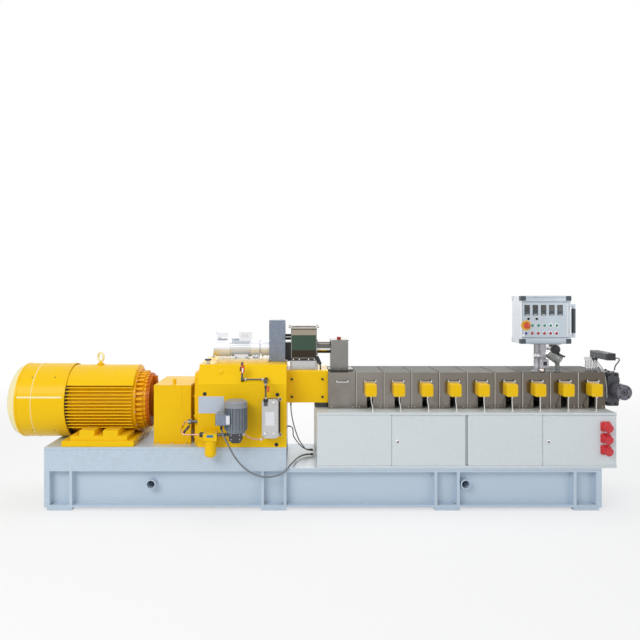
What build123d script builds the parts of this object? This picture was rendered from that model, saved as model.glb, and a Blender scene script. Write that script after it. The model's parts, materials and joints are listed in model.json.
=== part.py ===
"""Co-rotating twin screw compounding extruder with its drive, feeder, cabinet and die head."""
import os
from math import atan2, cos, degrees, radians, sin, sqrt, tan

from build123d import *

os.makedirs("parts", exist_ok=True)

# Lengths along the machine (X), from the motor's end to the die
fan_cover_depth = 138
cowl_length = 450
motor_body_length = 597
end_shield_length = 165
shield_guard_gap = 29
guard_length = 331
guard_gearbox_gap = 82
gearbox_length = 773
lantern_length = 374
module_length = 250
module_count = 10
die_adapter_length = 47
die_block_length = 104
die_cylinder_diameter = 138
die_cylinder_inset = 16

# Base frame
raised_length = 2110
low_length = 2745
base_width = 900
raised_top = 550
low_top = 368
foot_plate_thickness = 26
beam_width = 150
web_recess = 70
web_thickness = 14
bottom_flange = 20
low_top_flange = 35
raised_top_beam = 209
deck_plate = 20
post_width = 220
post_rib = 24
low_post_offset = 1289
lifting_tube_diameter = 84
lifting_tube_wall = 8
lifting_tube_z = 225
raised_tube_offset = 929
low_tube_offset = 1562

# Heights of the two shafts
motor_axis_z = 893
barrel_axis_z = 1020

# Main motor
cowl_diameter = 674
cowl_wall = 4
cowl_lap = 25
cowl_pad_width = 60
inlet_slot_count = 24
inlet_slot_width = 12
motor_body_diameter = 650
motor_round_sides = 64
motor_core_diameter = 572
motor_fin_thickness = 9
motor_fin_pitch = 30.2
motor_fin_count = 13
motor_fin_top = 168
shield_plate_clearance = 3
shield_ring_radius = 270
shield_core_radius = 236
shield_nose_radius = 248
shield_rib_count = 36
shield_rib_width = 21
motor_shaft_diameter = 90
motor_plate_thickness = 50
motor_plate_inset = 14
motor_plate_start = 12
motor_plate_overhang = 45
motor_foot_length = 130
motor_foot_places = (0.276, 0.622)
motor_foot_top_z = 690
motor_pad_length = 80
motor_pad_height = 41
eye_share = 0.38
eye_turn = 60
eye_boss = 70
eye_boss_height = 3

# Coupling and its guard
guard_width = 604
guard_top = 1069
guard_wall = 4
guard_rim = 40
coupling_diameter = 260
coupling_hub_diameter = 170

# Gearbox
gearbox_shoulder_z = 1102
gearbox_top_z = 1258
gearbox_chamfer = 120
bearing_plate_width = 740
bearing_plate_top_z = 1190
bearing_plate_stand = 38
riser_start = 128
riser_length = 478
riser_width = 320
riser_height = 25

# Lubrication set on the gearbox's front
pump_offset = 345
pump_standoff = 128
pump_motor_diameter = 196
pump_motor_low_z = 712
pump_motor_top_z = 985
pump_fin_count = 24
pump_block = 110
pump_low_z = 625
pump_port_z = 694
pump_box_low_z = 785
pump_box_top_z = 877
cooler_offset = 566
cooler_length = 137
cooler_low_z = 650
cooler_height = 332
cooler_depth = 96
filter_offset = 124
filter_standoff = 90
filter_diameter = 101
filter_head_low_z = 637
filter_head_top_z = 697
filter_low_z = 491
top_valve_offset = 388
top_line_depth = 0
top_line_z = 1142

# Lantern between the gearbox and the barrel
lantern_width = 440
lantern_height = 290
lantern_top_z = 1190

# Cabinet under the barrel
cabinet_offset = 266
cabinet_length = 2610
cabinet_top_z = 850
cabinet_plate = 20
cabinet_back_depth = 460
door_thickness = 25
door_gap = 6
door_mid_gap = 16
door_pin_diameter = 12
door_pin_clearance = 0.1
door_pin_reach = 24
door_seat_clearance = 0.3
lock_diameter = 34
lock_stand = 4
lock_inset = 50
lock_z = 598
socket_inset = 101
socket_z = 733
socket_pitch = 101
socket_flange = 86
socket_nose_diameter = 66
socket_reach = 66

# Barrel covers
cover_width = 500
cover_top_z = 1175
cover_seam = 3
cover_sheet = 3
cover_notch_width = 54
barrel_width = 240
terminal_box_width = 101
terminal_box_height = 113
terminal_box_depth = 115
terminal_box_z = 1030
handle_width = 108
handle_stand = 30
handle_bar = 8
handle_z = 1094
handle_drop = 14

# Feeder
feeder_axis_z = 1380
hopper_length = 237
hopper_width = 260
hopper_height = 307
hopper_wall = 5
hopper_flange = 24
hopper_offset = 38
feeder_base_height = 79
screw_tube_diameter = 106
down_pipe_length = 161
down_pipe_width = 180
down_pipe_height = 275
feeder_guard_length = 150
feeder_guard_width = 200
feeder_guard_height = 380
feeder_guard_offset = 165
feeder_motor_diameter = 170
feeder_motor_offset = 92

# Control box on its arm
control_offset = 1701
control_width = 445
control_height = 425
control_depth = 237
control_top_z = 1867
control_rail = 52
control_reach = 100
control_arm_offset = 196
control_arm_diameter = 44
arm_plate_thickness = 14
arm_block_low_z = 1211
arm_block_high_z = 1292

# Vent beside the arm
vent_offset = 192
vent_diameter = 40
vent_drum_diameter = 96
vent_drum_length = 114
vent_drum_z = 1322
vent_knuckle_diameter = 94

# Die head
die_block_height = 304
die_block_width = 380
die_cylinder_length = 130
die_box_length = 337
die_box_width = 74
die_box_height = 62
die_box_clearance = 124
die_connector_z = 935

# Cords
pump_cable_diameter = 16
sensor_cable_diameter = 10
heater_cable_diameter = 9
die_cable_diameter = 11
die_hose_diameter = 12
gland_length = 12

# Seating clearance between curved pieces
seat = 0.3

# Places along X, with the part's box centred on the origin
left_reach = (fan_cover_depth + cowl_length + motor_body_length + end_shield_length
              + shield_guard_gap + guard_length + guard_gearbox_gap + gearbox_length)
covers_length = module_length * module_count
right_reach = (lantern_length + covers_length + die_adapter_length + die_block_length
               - die_cylinder_inset + die_cylinder_diameter / 2)
step_x = (left_reach - right_reach) / 2
gearbox_x = step_x - gearbox_length
guard_x = gearbox_x - guard_gearbox_gap - guard_length
shield_x = guard_x - shield_guard_gap - end_shield_length
body_x = shield_x - motor_body_length
cowl_x = body_x - cowl_length
covers_x = step_x + lantern_length
covers_end_x = covers_x + covers_length
cabinet_x = step_x + cabinet_offset
base_x = step_x - raised_length
base_end_x = step_x + low_length

# Places along Y: the pump set stands out in front of the base
pump_reach = pump_standoff + pump_motor_diameter / 2
mid_y = pump_reach / 2
front_y = mid_y - base_width / 2
back_y = mid_y + base_width / 2
cover_front_y = mid_y - cover_width / 2
cover_back_y = mid_y + cover_width / 2


def keep(part, name):
    """Labels a finished piece and writes its file."""
    part.label = name
    export_step(part, f"parts/{name}.step")


def block(low, high, mode=Mode.ADD):
    """A box between two corners."""
    middle = tuple((a + b) / 2 for a, b in zip(low, high))
    with Locations(middle):
        Box(*(b - a for a, b in zip(low, high)), mode=mode)


def rod(start, end, diameter, sides=0, mode=Mode.ADD):
    """A bar from one point to another, round or with the given number of sides."""
    way = Vector(*end) - Vector(*start)
    with BuildSketch(Plane(origin=start, z_dir=way)) as section:
        if sides:
            RegularPolygon(diameter / 2, sides)
        else:
            Circle(diameter / 2)
    extrude(section.sketch, amount=way.length, mode=mode)


def stepped(x, y, z, sides, steps):
    """A shaft-like form along X from steps of start, end and radius."""
    for start, end, radius in steps:
        rod((x + start, y, z), (x + end, y, z), 2 * radius, sides)


def cord(name, points, diameter, sides=6):
    """A cord's tube: straight runs joined by arcs as large as its runs allow."""
    route = [Vector(*point) for point in points]
    radii = []
    for before, here, after in zip(route, route[1:], route[2:]):
        turn = (here - before).get_angle(after - here)
        shorter = min((here - before).length, (after - here).length)
        radii.append(0.45 * shorter / tan(radians(turn / 2)))
    with BuildPart() as tube:
        with BuildLine():
            path = FilletPolyline(*route, radius=radii)
        with BuildSketch(Plane(origin=route[0], z_dir=route[1] - route[0])) as section:
            RegularPolygon(diameter / 2, sides)
        sweep(section.sketch, path=path)
    length = path.length
    print(name, "length", round(length), "radii", [round(r / diameter, 1) for r in radii], "diameters",
          "volume", round(tube.part.volume / (length * section.sketch.area), 3))
    return tube.part


def side_beams(name, start_x, length, top_z, top_flange, post_places):
    """A pair of welded beams with thin webs and ribbed posts, the front one and the back one."""
    low_z = foot_plate_thickness
    web_low = low_z + bottom_flange
    web_high = top_z - top_flange
    starts = [start_x] + [x + post_width for x in post_places]
    ends = post_places + [start_x + length]
    fields = [(a, b) for a, b in zip(starts, ends) if b - a > 2 * post_rib]
    fields += [(x + post_rib, x + post_width - post_rib) for x in post_places]
    with BuildPart() as beams:
        for outer_y, side in ((front_y, -1), (back_y, 1)):
            block((start_x, min(outer_y, outer_y - side * beam_width), low_z),
                  (start_x + length, max(outer_y, outer_y - side * beam_width), top_z - deck_plate))
            for low_x, high_x in fields:
                for depth, reach in ((web_recess / 2, web_recess),
                                     (beam_width - (beam_width - web_recess - web_thickness) / 2,
                                      beam_width - web_recess - web_thickness)):
                    with Locations(((low_x + high_x) / 2, outer_y - side * depth, (web_low + web_high) / 2)):
                        Box(high_x - low_x, reach, web_high - web_low, mode=Mode.SUBTRACT)
        for tube_x in tube_places:
            if start_x < tube_x < start_x + length:
                rod((tube_x, front_y, lifting_tube_z), (tube_x, back_y, lifting_tube_z),
                    lifting_tube_diameter, mode=Mode.SUBTRACT)
    keep(beams.part, name)


tube_places = [base_x + raised_tube_offset, step_x + low_tube_offset]
raised_posts = [base_x + post_rib, step_x - post_width]
low_posts = [step_x + low_post_offset, base_end_x - post_width - post_rib]

side_beams("raised_side_beams", base_x, raised_length, raised_top, raised_top_beam, raised_posts)
side_beams("low_side_beams", step_x, low_length, low_top, low_top_flange, low_posts)

with BuildPart() as decks:
    inner_low_y = front_y + beam_width
    inner_high_y = back_y - beam_width
    for places, start_x, end_x, top_z in ((raised_posts, base_x, step_x, raised_top),
                                          (low_posts, step_x, base_end_x, low_top)):
        block((start_x, front_y, top_z - deck_plate), (end_x, back_y, top_z))
        for place in places:
            block((place + post_rib, inner_low_y, foot_plate_thickness),
                  (place + post_width - post_rib, inner_high_y, top_z - deck_plate))
keep(decks.part, "deck_plates")

with BuildPart() as foot_plates:
    for place in raised_posts + low_posts:
        block((place, front_y, 0), (place + post_width, back_y, foot_plate_thickness))
keep(foot_plates.part, "foot_plates")

with BuildPart() as lifting_tubes:
    for tube_x in tube_places:
        ends = (tube_x, front_y, lifting_tube_z), (tube_x, back_y, lifting_tube_z)
        rod(*ends, lifting_tube_diameter)
        rod(*ends, lifting_tube_diameter - 2 * lifting_tube_wall, mode=Mode.SUBTRACT)
keep(lifting_tubes.part, "lifting_tubes")

# Main motor
axis_plane = Plane(origin=(0, mid_y, motor_axis_z), x_dir=(0, 1, 0), z_dir=(1, 0, 0))
plate_x = body_x + motor_plate_start
plate_end_x = shield_x + motor_plate_overhang
plate_top_z = raised_top + motor_plate_thickness
plate_half_width = base_width / 2 - motor_plate_inset

with BuildPart() as motor_plate:
    block((plate_x, mid_y - plate_half_width, raised_top),
          (plate_end_x, mid_y + plate_half_width, plate_top_z))
keep(motor_plate.part, "motor_foot_plate")

with BuildPart() as motor_frame:
    body_start = body_x - cowl_lap
    body_reach = shield_x - body_start
    body_radius = motor_body_diameter / 2
    with BuildSketch(axis_plane.offset(body_start)):
        RegularPolygon(motor_core_diameter / 2, motor_round_sides)
    extrude(amount=body_reach)
    with BuildSketch(axis_plane.offset(body_start)) as crown:
        RegularPolygon(body_radius, motor_round_sides)
        with Locations((0, motor_fin_top - body_radius)):
            Rectangle(2 * motor_body_diameter, motor_body_diameter, mode=Mode.SUBTRACT)
    extrude(crown.sketch, amount=body_reach)
    for number in range(motor_fin_count):
        fin_z = motor_fin_top - motor_fin_pitch * (number + 0.6)
        half_width = sqrt(body_radius ** 2 - fin_z ** 2)
        block((body_start, mid_y - half_width, motor_axis_z + fin_z - motor_fin_thickness / 2),
              (shield_x - 6, mid_y + half_width, motor_axis_z + fin_z + motor_fin_thickness / 2))
    cowl_inner = cowl_diameter / 2 - cowl_wall
    with BuildSketch(axis_plane.offset(body_start)) as pads:
        with PolarLocations(body_radius, 4, start_angle=45):
            Rectangle(40, cowl_pad_width)
        RegularPolygon(cowl_inner - seat, motor_round_sides, mode=Mode.INTERSECT)
    extrude(pads.sketch, amount=cowl_lap)
    foot_outer = plate_half_width - 16
    foot_inner = 150
    first_foot_x, second_foot_x = (body_x + share * motor_body_length for share in motor_foot_places)
    pads_end_x = second_foot_x + motor_foot_length + motor_pad_length
    for side in (-1, 1):
        low_y, high_y = sorted((mid_y + side * foot_inner, mid_y + side * foot_outer))
        block((first_foot_x - motor_pad_length, low_y, plate_top_z),
              (pads_end_x, high_y, plate_top_z + motor_pad_height))
        for foot_x in (first_foot_x, second_foot_x):
            block((foot_x, low_y, plate_top_z), (foot_x + motor_foot_length, high_y, motor_foot_top_z))
    eye_x = body_x + motor_body_length * eye_share
    eye_z = motor_axis_z + body_radius + eye_boss_height
    block((eye_x - eye_boss / 2, mid_y - eye_boss / 2, motor_axis_z),
          (eye_x + eye_boss / 2, mid_y + eye_boss / 2, eye_z))
keep(motor_frame.part, "motor_frame")

with BuildPart() as fan_cowl:
    with BuildSketch(axis_plane.offset(cowl_x)):
        RegularPolygon(cowl_diameter / 2, motor_round_sides)
        RegularPolygon(cowl_inner, motor_round_sides, mode=Mode.SUBTRACT)
    extrude(amount=cowl_length)
keep(fan_cowl.part, "motor_fan_cowl")

cover_angles = [radians(angle) for angle in (0, 22, 42, 62, 80)]
dome = [(fan_cover_depth * sin(a) / sin(cover_angles[-1]), cowl_diameter / 2 * cos(a)) for a in cover_angles]
polygon_share = cos(radians(180 / motor_round_sides))


def dome_form(outline, mode=Mode.ADD):
    """A many-sided dome in front of the cowl, from pairs of depth and radius."""
    for (near, wide), (far, narrow) in zip(outline, outline[1:]):
        ring_plane = Plane(origin=(cowl_x - near, mid_y, motor_axis_z), x_dir=(0, 1, 0), z_dir=(-1, 0, 0))
        with BuildSketch(ring_plane) as ring:
            RegularPolygon(wide, motor_round_sides)
        taper = degrees(atan2((wide - narrow) * polygon_share, far - near))
        extrude(ring.sketch, amount=far - near, taper=taper, mode=mode)


with BuildPart() as fan_cover:
    dome_form(dome)
    dome_form([(max(depth - cowl_wall, 0), radius - cowl_wall) for depth, radius in dome], Mode.SUBTRACT)
    with BuildSketch(axis_plane.offset(cowl_x - fan_cover_depth - 1)) as slots:
        with PolarLocations(cowl_diameter * 0.31, inlet_slot_count):
            Rectangle(cowl_diameter * 0.2, inlet_slot_width)
    extrude(slots.sketch, amount=fan_cover_depth, mode=Mode.SUBTRACT)
keep(fan_cover.part, "motor_fan_cover")

shield_flange_radius = motor_axis_z - plate_top_z - shield_plate_clearance
shield_end = shield_x + end_shield_length
with BuildPart() as end_shield:
    stepped(shield_x, mid_y, motor_axis_z, motor_round_sides,
            [(0, 18, shield_flange_radius), (18, 132, shield_core_radius), (132, 148, 150),
             (148, end_shield_length, 120)])
    for start, end, radius in ((18, 78, shield_ring_radius), (78, 120, shield_nose_radius)):
        root = shield_core_radius - 12
        with BuildSketch(axis_plane.offset(shield_x + start)) as ribs:
            with PolarLocations((root + radius) / 2, shield_rib_count):
                Rectangle(radius - root, shield_rib_width)
        extrude(ribs.sketch, amount=end - start)
    block((shield_x + 120, mid_y - 20, motor_axis_z + 130), (shield_end, mid_y + 20, motor_axis_z + 222))
keep(end_shield.part, "motor_end_shield")

eye_radius = 50
with BuildPart() as motor_eye:
    rod((eye_x, mid_y, eye_z), (eye_x, mid_y, eye_z + 28), 56, 12)
    eye_middle = Vector(eye_x, mid_y, eye_z + 70)
    eye_way = Vector(sin(radians(eye_turn)), cos(radians(eye_turn)), 0)
    rod(eye_middle - eye_way * 11, eye_middle + eye_way * 11, 2 * eye_radius, 24)
    rod(eye_middle - eye_way * 12, eye_middle + eye_way * 12, 54, 20, Mode.SUBTRACT)
keep(motor_eye.part, "motor_eye_bolt")

# Shaft coupling and guard
with BuildPart() as coupling:
    hub = coupling_hub_diameter / 2
    hub_start = shield_guard_gap + 40
    wheel = (guard_length - 60, guard_length + 50)
    stepped(shield_end, mid_y, motor_axis_z, 32,
            [(0, hub_start, motor_shaft_diameter / 2), (hub_start, wheel[0], hub),
             (*wheel, coupling_diameter / 2), (wheel[1], gearbox_x - bearing_plate_stand - shield_end, hub)])
keep(coupling.part, "shaft_coupling")

with BuildPart() as guard:
    guard_end = guard_x + guard_length
    block((guard_x, mid_y - guard_width / 2, raised_top), (guard_end, mid_y + guard_width / 2, guard_top))
    block((guard_x + guard_wall, mid_y - guard_width / 2 + guard_wall, raised_top),
          (guard_end - guard_wall, mid_y + guard_width / 2 - guard_wall, guard_top - guard_wall),
          Mode.SUBTRACT)
    arch_half = guard_width / 2 - guard_rim
    arch_top = guard_top - guard_rim / 2
    with BuildSketch(Plane(origin=(guard_x, mid_y, 0), x_dir=(0, 1, 0), z_dir=(1, 0, 0))) as arch:
        with BuildLine() as arch_line:
            FilletPolyline((-arch_half, raised_top), (-arch_half, arch_top), (arch_half, arch_top),
                           (arch_half, raised_top), radius=120)
            Line((arch_half, raised_top), (-arch_half, raised_top))
        make_face()
    extrude(arch.sketch, amount=guard_length, mode=Mode.SUBTRACT)
    block((guard_x + 70, mid_y - guard_width / 2 - 3, guard_top - 205),
          (guard_end - 80, mid_y - guard_width / 2, guard_top - 8))
    rod((guard_end - 163, front_y + 242, guard_top), (guard_end - 163, front_y + 242, guard_top + 45), 32, 16)
keep(guard.part, "coupling_guard")

# Gearbox
with BuildPart() as gearbox:
    half = base_width / 2
    with BuildSketch(Plane(origin=(gearbox_x, mid_y, 0), x_dir=(0, 1, 0), z_dir=(1, 0, 0))):
        with BuildLine():
            Polyline((-half, raised_top), (-half, gearbox_shoulder_z),
                     (-half + gearbox_chamfer, gearbox_top_z),
                     (half - gearbox_chamfer, gearbox_top_z), (half, gearbox_shoulder_z), (half, raised_top),
                     close=True)
        make_face()
    extrude(amount=gearbox_length)
    plate_half = bearing_plate_width / 2
    with BuildSketch(Plane(origin=(gearbox_x - bearing_plate_stand, mid_y, 0), x_dir=(0, 1, 0),
                           z_dir=(1, 0, 0))) as bearing_plate:
        with BuildLine():
            FilletPolyline((-plate_half, raised_top), (-plate_half, bearing_plate_top_z),
                           (plate_half, bearing_plate_top_z), (plate_half, raised_top), radius=60)
            Line((plate_half, raised_top), (-plate_half, raised_top))
        make_face()
    extrude(bearing_plate.sketch, amount=bearing_plate_stand)
    riser_x = gearbox_x + riser_start
    riser_end_x = riser_x + riser_length
    riser_top_z = gearbox_top_z + riser_height
    block((riser_x, mid_y - riser_width / 2, gearbox_top_z),
          (riser_end_x, mid_y + riser_width / 2, riser_top_z))
    for share in (0.02, 0.24, 0.49, 0.74, 0.97):
        rib_x = riser_x + share * riser_length
        block((rib_x - 6, mid_y - riser_width / 2 - 14, gearbox_top_z),
              (rib_x + 6, mid_y + riser_width / 2 + 14, riser_top_z - 4))
keep(gearbox.part, "gearbox_housing")

# Fittings on the gearbox's top and on its sloping front
slope_rise = (gearbox_top_z - gearbox_shoulder_z) / gearbox_chamfer


def slope_point(offset, depth):
    """A point on the gearbox's sloping front, by its place along X and its depth."""
    return (gearbox_x + offset, front_y + depth, gearbox_shoulder_z + slope_rise * depth)


slope_normal = Vector(0, -slope_rise, 1).normalized()
with BuildPart() as gearbox_fittings:
    breather = Vector(gearbox_x + 67, front_y + 184, gearbox_top_z)
    rod(breather, breather + Vector(0, 0, 29), 40, 16)
    rod(breather + Vector(0, 0, 29), breather + Vector(0, 0, 44), 62, 16)
    plug = Vector(*slope_point(194, 0.62 * gearbox_chamfer))
    rod(plug, plug + slope_normal * 10, 48, 20)
keep(gearbox_fittings.part, "gearbox_fittings")

# Lubrication set
pump_x = gearbox_x + pump_offset
pump_y = front_y - pump_standoff
pump_radius = pump_motor_diameter / 2
with BuildPart() as pump_motor:
    rod((pump_x, pump_y, pump_motor_low_z + 14), (pump_x, pump_y, pump_motor_top_z - 60),
        2 * pump_radius - 22, 32)
    rod((pump_x, pump_y, pump_motor_low_z), (pump_x, pump_y, pump_motor_low_z + 14), 2 * pump_radius - 36, 32)
    with BuildSketch(Plane((pump_x, pump_y, pump_motor_low_z + 24))) as pump_fins:
        with PolarLocations(pump_radius - 12, pump_fin_count):
            Rectangle(24, 6)
    extrude(pump_fins.sketch, amount=pump_motor_top_z - 60 - pump_motor_low_z - 24)
    rod((pump_x, pump_y, pump_motor_top_z - 60), (pump_x, pump_y, pump_motor_top_z - 14), 2 * pump_radius, 32)
    with BuildSketch(Plane((pump_x, pump_y, pump_motor_top_z - 14))) as cap:
        RegularPolygon(pump_radius, 32)
    extrude(cap.sketch, amount=14, taper=55)
    block((pump_x - 164, pump_y - 92, pump_box_low_z), (pump_x - 38, pump_y + 40, pump_box_top_z))
    pump_gland = (pump_x - 121, pump_y - 20, pump_box_low_z - 18)
    rod(pump_gland, (pump_gland[0], pump_gland[1], pump_box_low_z), 26, 12)
    block((pump_x - 40, pump_y + 60, pump_motor_low_z + 60), (pump_x + 40, front_y, pump_motor_low_z + 180))
keep(pump_motor.part, "oil_pump_motor")

with BuildPart() as pump:
    half_block = pump_block / 2
    rod((pump_x, pump_y, pump_low_z), (pump_x, pump_y, pump_low_z + 22), pump_block - 20, 16)
    block((pump_x - half_block, pump_y - half_block, pump_low_z + 22),
          (pump_x + half_block, pump_y + half_block, pump_motor_low_z))
keep(pump.part, "oil_pump")

filter_x = gearbox_x + filter_offset
filter_y = front_y - filter_standoff
with BuildPart() as oil_filter:
    block((filter_x - 59, filter_y - 52, filter_head_low_z),
          (filter_x + 59, filter_y + 52, filter_head_top_z))
    rod((filter_x, filter_y, filter_low_z + 22), (filter_x, filter_y, filter_head_low_z), filter_diameter, 24)
    with BuildSketch(Plane(origin=(filter_x, filter_y, filter_low_z + 22), z_dir=(0, 0, -1))) as bowl:
        RegularPolygon(filter_diameter / 2, 24)
    extrude(bowl.sketch, amount=22, taper=40)
    block((filter_x - 25, filter_y + 52, filter_head_low_z + 5),
          (filter_x + 25, front_y, filter_head_top_z - 5))
keep(oil_filter.part, "oil_filter")

cooler_x = gearbox_x + cooler_offset
cooler_top_z = cooler_low_z + cooler_height
cooler_front_y = front_y - cooler_depth
with BuildPart() as cooler:
    block((cooler_x, cooler_front_y, cooler_low_z), (cooler_x + cooler_length, front_y, cooler_top_z))
    fillet(cooler.edges().filter_by(Axis.Y), 26)
    for boss_z in (cooler_low_z + 34, cooler_top_z - 34):
        for boss_x in (cooler_x + 32, cooler_x + cooler_length - 32):
            rod((boss_x, cooler_front_y - 12, boss_z), (boss_x, cooler_front_y, boss_z), 36, 16)
keep(cooler.part, "oil_cooler")

# Oil pipes
pump_left_x = pump_x - half_block
pump_right_x = pump_x + half_block
cooler_port_x = cooler_x + 32
pipe_front_y = cooler_front_y - 12 - 26
with BuildPart() as oil_pipes:
    rod((filter_x + 59, filter_y, pump_port_z - 14), (pump_left_x, filter_y, pump_port_z - 14), 29, 12)
    union_x = filter_x - 59
    rod((union_x - 34, filter_y, 681), (union_x, filter_y, 681), 30, 6)
    valve_z = 763
    valve_y = front_y + 60
    rod((gearbox_x - 56, valve_y, valve_z), (gearbox_x, valve_y, valve_z), 26, 12)
    rod((gearbox_x - 92, valve_y, valve_z), (gearbox_x - 56, valve_y, valve_z), 42, 6)
    block((cooler_port_x - 16, pipe_front_y, cooler_top_z - 50),
          (cooler_port_x + 16, pipe_front_y + 26, cooler_top_z - 18))
    rod((cooler_port_x, pipe_front_y + 13, cooler_top_z - 18),
        (cooler_port_x, pipe_front_y + 13, top_line_z - 16),
        15, 12)
    line_y = front_y + top_line_depth
    block((cooler_port_x - 16, pipe_front_y - 3, top_line_z - 16),
          (cooler_port_x + 16, pipe_front_y + 29, top_line_z + 16))
    rod((cooler_port_x, pipe_front_y + 29, top_line_z), (cooler_port_x, line_y, top_line_z), 15, 12)
    block((cooler_port_x - 14, line_y - 14, top_line_z - 14),
          (cooler_port_x + 14, line_y + 14, top_line_z + 14))
    tee = Vector(gearbox_x + top_valve_offset, line_y, top_line_z)
    rod(tee, (cooler_port_x - 14, line_y, top_line_z), 13, 12)
    stub = (top_line_z - gearbox_shoulder_z - slope_rise * top_line_depth) * slope_normal.Z
    rod(tee - slope_normal * stub, tee + slope_normal * 8, 26, 12)
    for low, high, width, sides in ((0, 70, 18, 12), (70, 108, 44, 6), (108, 148, 22, 12)):
        rod(tee + Vector(0, 0, low), tee + Vector(0, 0, high), width, sides)
keep(oil_pipes.part, "oil_pipes")

with BuildPart() as copper_pipes:
    add(cord("pump to cooler", [(pump_right_x, pump_y, pump_port_z), (pump_right_x + 26, pump_y, pump_port_z),
                                (pump_right_x + 62, pump_y - 6, pump_port_z - 32),
                                (pump_right_x + 110, pump_y - 8, pump_port_z - 42),
                                (cooler_port_x - 16, pump_y - 8, pump_port_z - 42)], 12, 8))
    add(cord("valve to filter", [(gearbox_x - 92, valve_y, valve_z), (gearbox_x - 118, valve_y, valve_z),
                                 (gearbox_x - 134, valve_y - 30, valve_z - 34),
                                 (gearbox_x - 134, filter_y + 34, 715),
                                 (gearbox_x - 118, filter_y, 681),
                                 (union_x - 34, filter_y, 681)], 12, 8))
keep(copper_pipes.part, "copper_pipes")

# Lantern
lantern_low_z = lantern_top_z - lantern_height
with BuildPart() as lantern:
    block((step_x, mid_y - lantern_width / 2, lantern_low_z),
          (covers_x, mid_y + lantern_width / 2, lantern_top_z))
    chamfer(lantern.edges().filter_by(Axis.X).group_by(Axis.Z)[-1], 12)
    lantern_port_x = step_x + 37
    rod((lantern_port_x, mid_y - 195, lantern_low_z - gland_length),
        (lantern_port_x, mid_y - 195, lantern_low_z), 22, 12)
keep(lantern.part, "lantern_housing")

# Barrel with its covers
barrel_low_z = barrel_axis_z - barrel_width / 2
with BuildPart() as barrel:
    block((covers_x, mid_y - barrel_width / 2, barrel_low_z),
          (covers_end_x - cover_seam - cover_sheet, mid_y + barrel_width / 2, barrel_low_z + barrel_width))
    for number in range(0, module_count + 1, 2):
        saddle_x = covers_x + 5 + (covers_length - 80) * number / module_count
        block((saddle_x, mid_y - 150, cabinet_top_z), (saddle_x + 60, mid_y + 150, barrel_low_z))
    block((covers_x - 117, mid_y - 180, cabinet_top_z), (covers_x - 8, mid_y + 180, lantern_low_z))
keep(barrel.part, "barrel")


def cover_sheet_form(start_x, end_x):
    """A folded sheet cover, open below and at both ends."""
    block((start_x, cover_front_y, cabinet_top_z), (end_x, cover_back_y, cover_top_z))
    block((start_x, cover_front_y + cover_sheet, cabinet_top_z),
          (end_x, cover_back_y - cover_sheet, cover_top_z - cover_sheet), Mode.SUBTRACT)


def cover_handle(centre_x):
    """A wire handle welded on the front of a cover."""
    reach_y = cover_front_y - handle_stand
    for side in (-1, 1):
        arm_x = centre_x + side * (handle_width - handle_bar) / 2
        block((arm_x - handle_bar / 2, reach_y, handle_z + handle_drop - handle_bar / 2),
              (arm_x + handle_bar / 2, cover_front_y, handle_z + handle_drop + handle_bar / 2))
        block((arm_x - handle_bar / 2, reach_y, handle_z - handle_bar / 2),
              (arm_x + handle_bar / 2, reach_y + handle_bar, handle_z + handle_drop))
    block((centre_x - handle_width / 2, reach_y, handle_z - handle_bar / 2),
          (centre_x + handle_width / 2, reach_y + handle_bar, handle_z + handle_bar / 2))


with BuildPart() as feed_cover:
    cover_sheet_form(covers_x, covers_x + module_length - cover_seam)
    block((covers_x, mid_y - 70, cover_top_z - cover_sheet), (covers_x + 140, mid_y + 70, cover_top_z),
          Mode.SUBTRACT)
    cover_handle(covers_x + module_length / 2)
keep(feed_cover.part, "feed_cover")

terminal_low_z = terminal_box_z - terminal_box_height / 2
terminal_high_z = terminal_box_z + terminal_box_height / 2
cover_centres = [covers_x + module_length * (number + 0.5) for number in range(1, module_count)]
with BuildPart() as covers:
    for centre_x in cover_centres:
        cover_sheet_form(centre_x - module_length / 2, centre_x + module_length / 2 - cover_seam)
        block((centre_x - cover_notch_width / 2, cover_front_y, cabinet_top_z),
              (centre_x + cover_notch_width / 2, cover_front_y + cover_sheet, terminal_low_z), Mode.SUBTRACT)
    end_x = covers_end_x - cover_seam
    block((end_x - cover_sheet, cover_front_y, cabinet_top_z), (end_x, cover_back_y, cover_top_z))
    for centre_x in cover_centres:
        cover_handle(centre_x)
keep(covers.part, "barrel_covers")

cable_out_y = cover_front_y - terminal_box_depth + 20
with BuildPart() as terminal_boxes:
    for centre_x in cover_centres:
        with BuildPart(mode=Mode.PRIVATE) as one_box:
            block((centre_x - terminal_box_width / 2, cover_front_y - terminal_box_depth, terminal_low_z),
                  (centre_x + terminal_box_width / 2, cover_front_y, terminal_high_z))
            chamfer(one_box.edges().filter_by(Axis.Y), 10)
        add(one_box.part)
        rod((centre_x, cable_out_y, terminal_low_z - gland_length),
            (centre_x, cable_out_y, terminal_low_z), 20, 8)
keep(terminal_boxes.part, "heater_terminal_boxes")

cable_in_y = cable_out_y - 35
with BuildPart() as heater_cables:
    for number, centre_x in enumerate(cover_centres):
        low_x = centre_x + 12 - 4 * number
        add(cord(f"heater cable {number + 1}",
                 [(centre_x, cable_out_y, terminal_low_z - gland_length),
                  (centre_x, cable_out_y, terminal_low_z - gland_length - 29),
                  (low_x, cable_in_y, cabinet_top_z + 35), (low_x, cable_in_y, cabinet_top_z)],
                 heater_cable_diameter, 6))
keep(heater_cables.part, "heater_cables")

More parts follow.
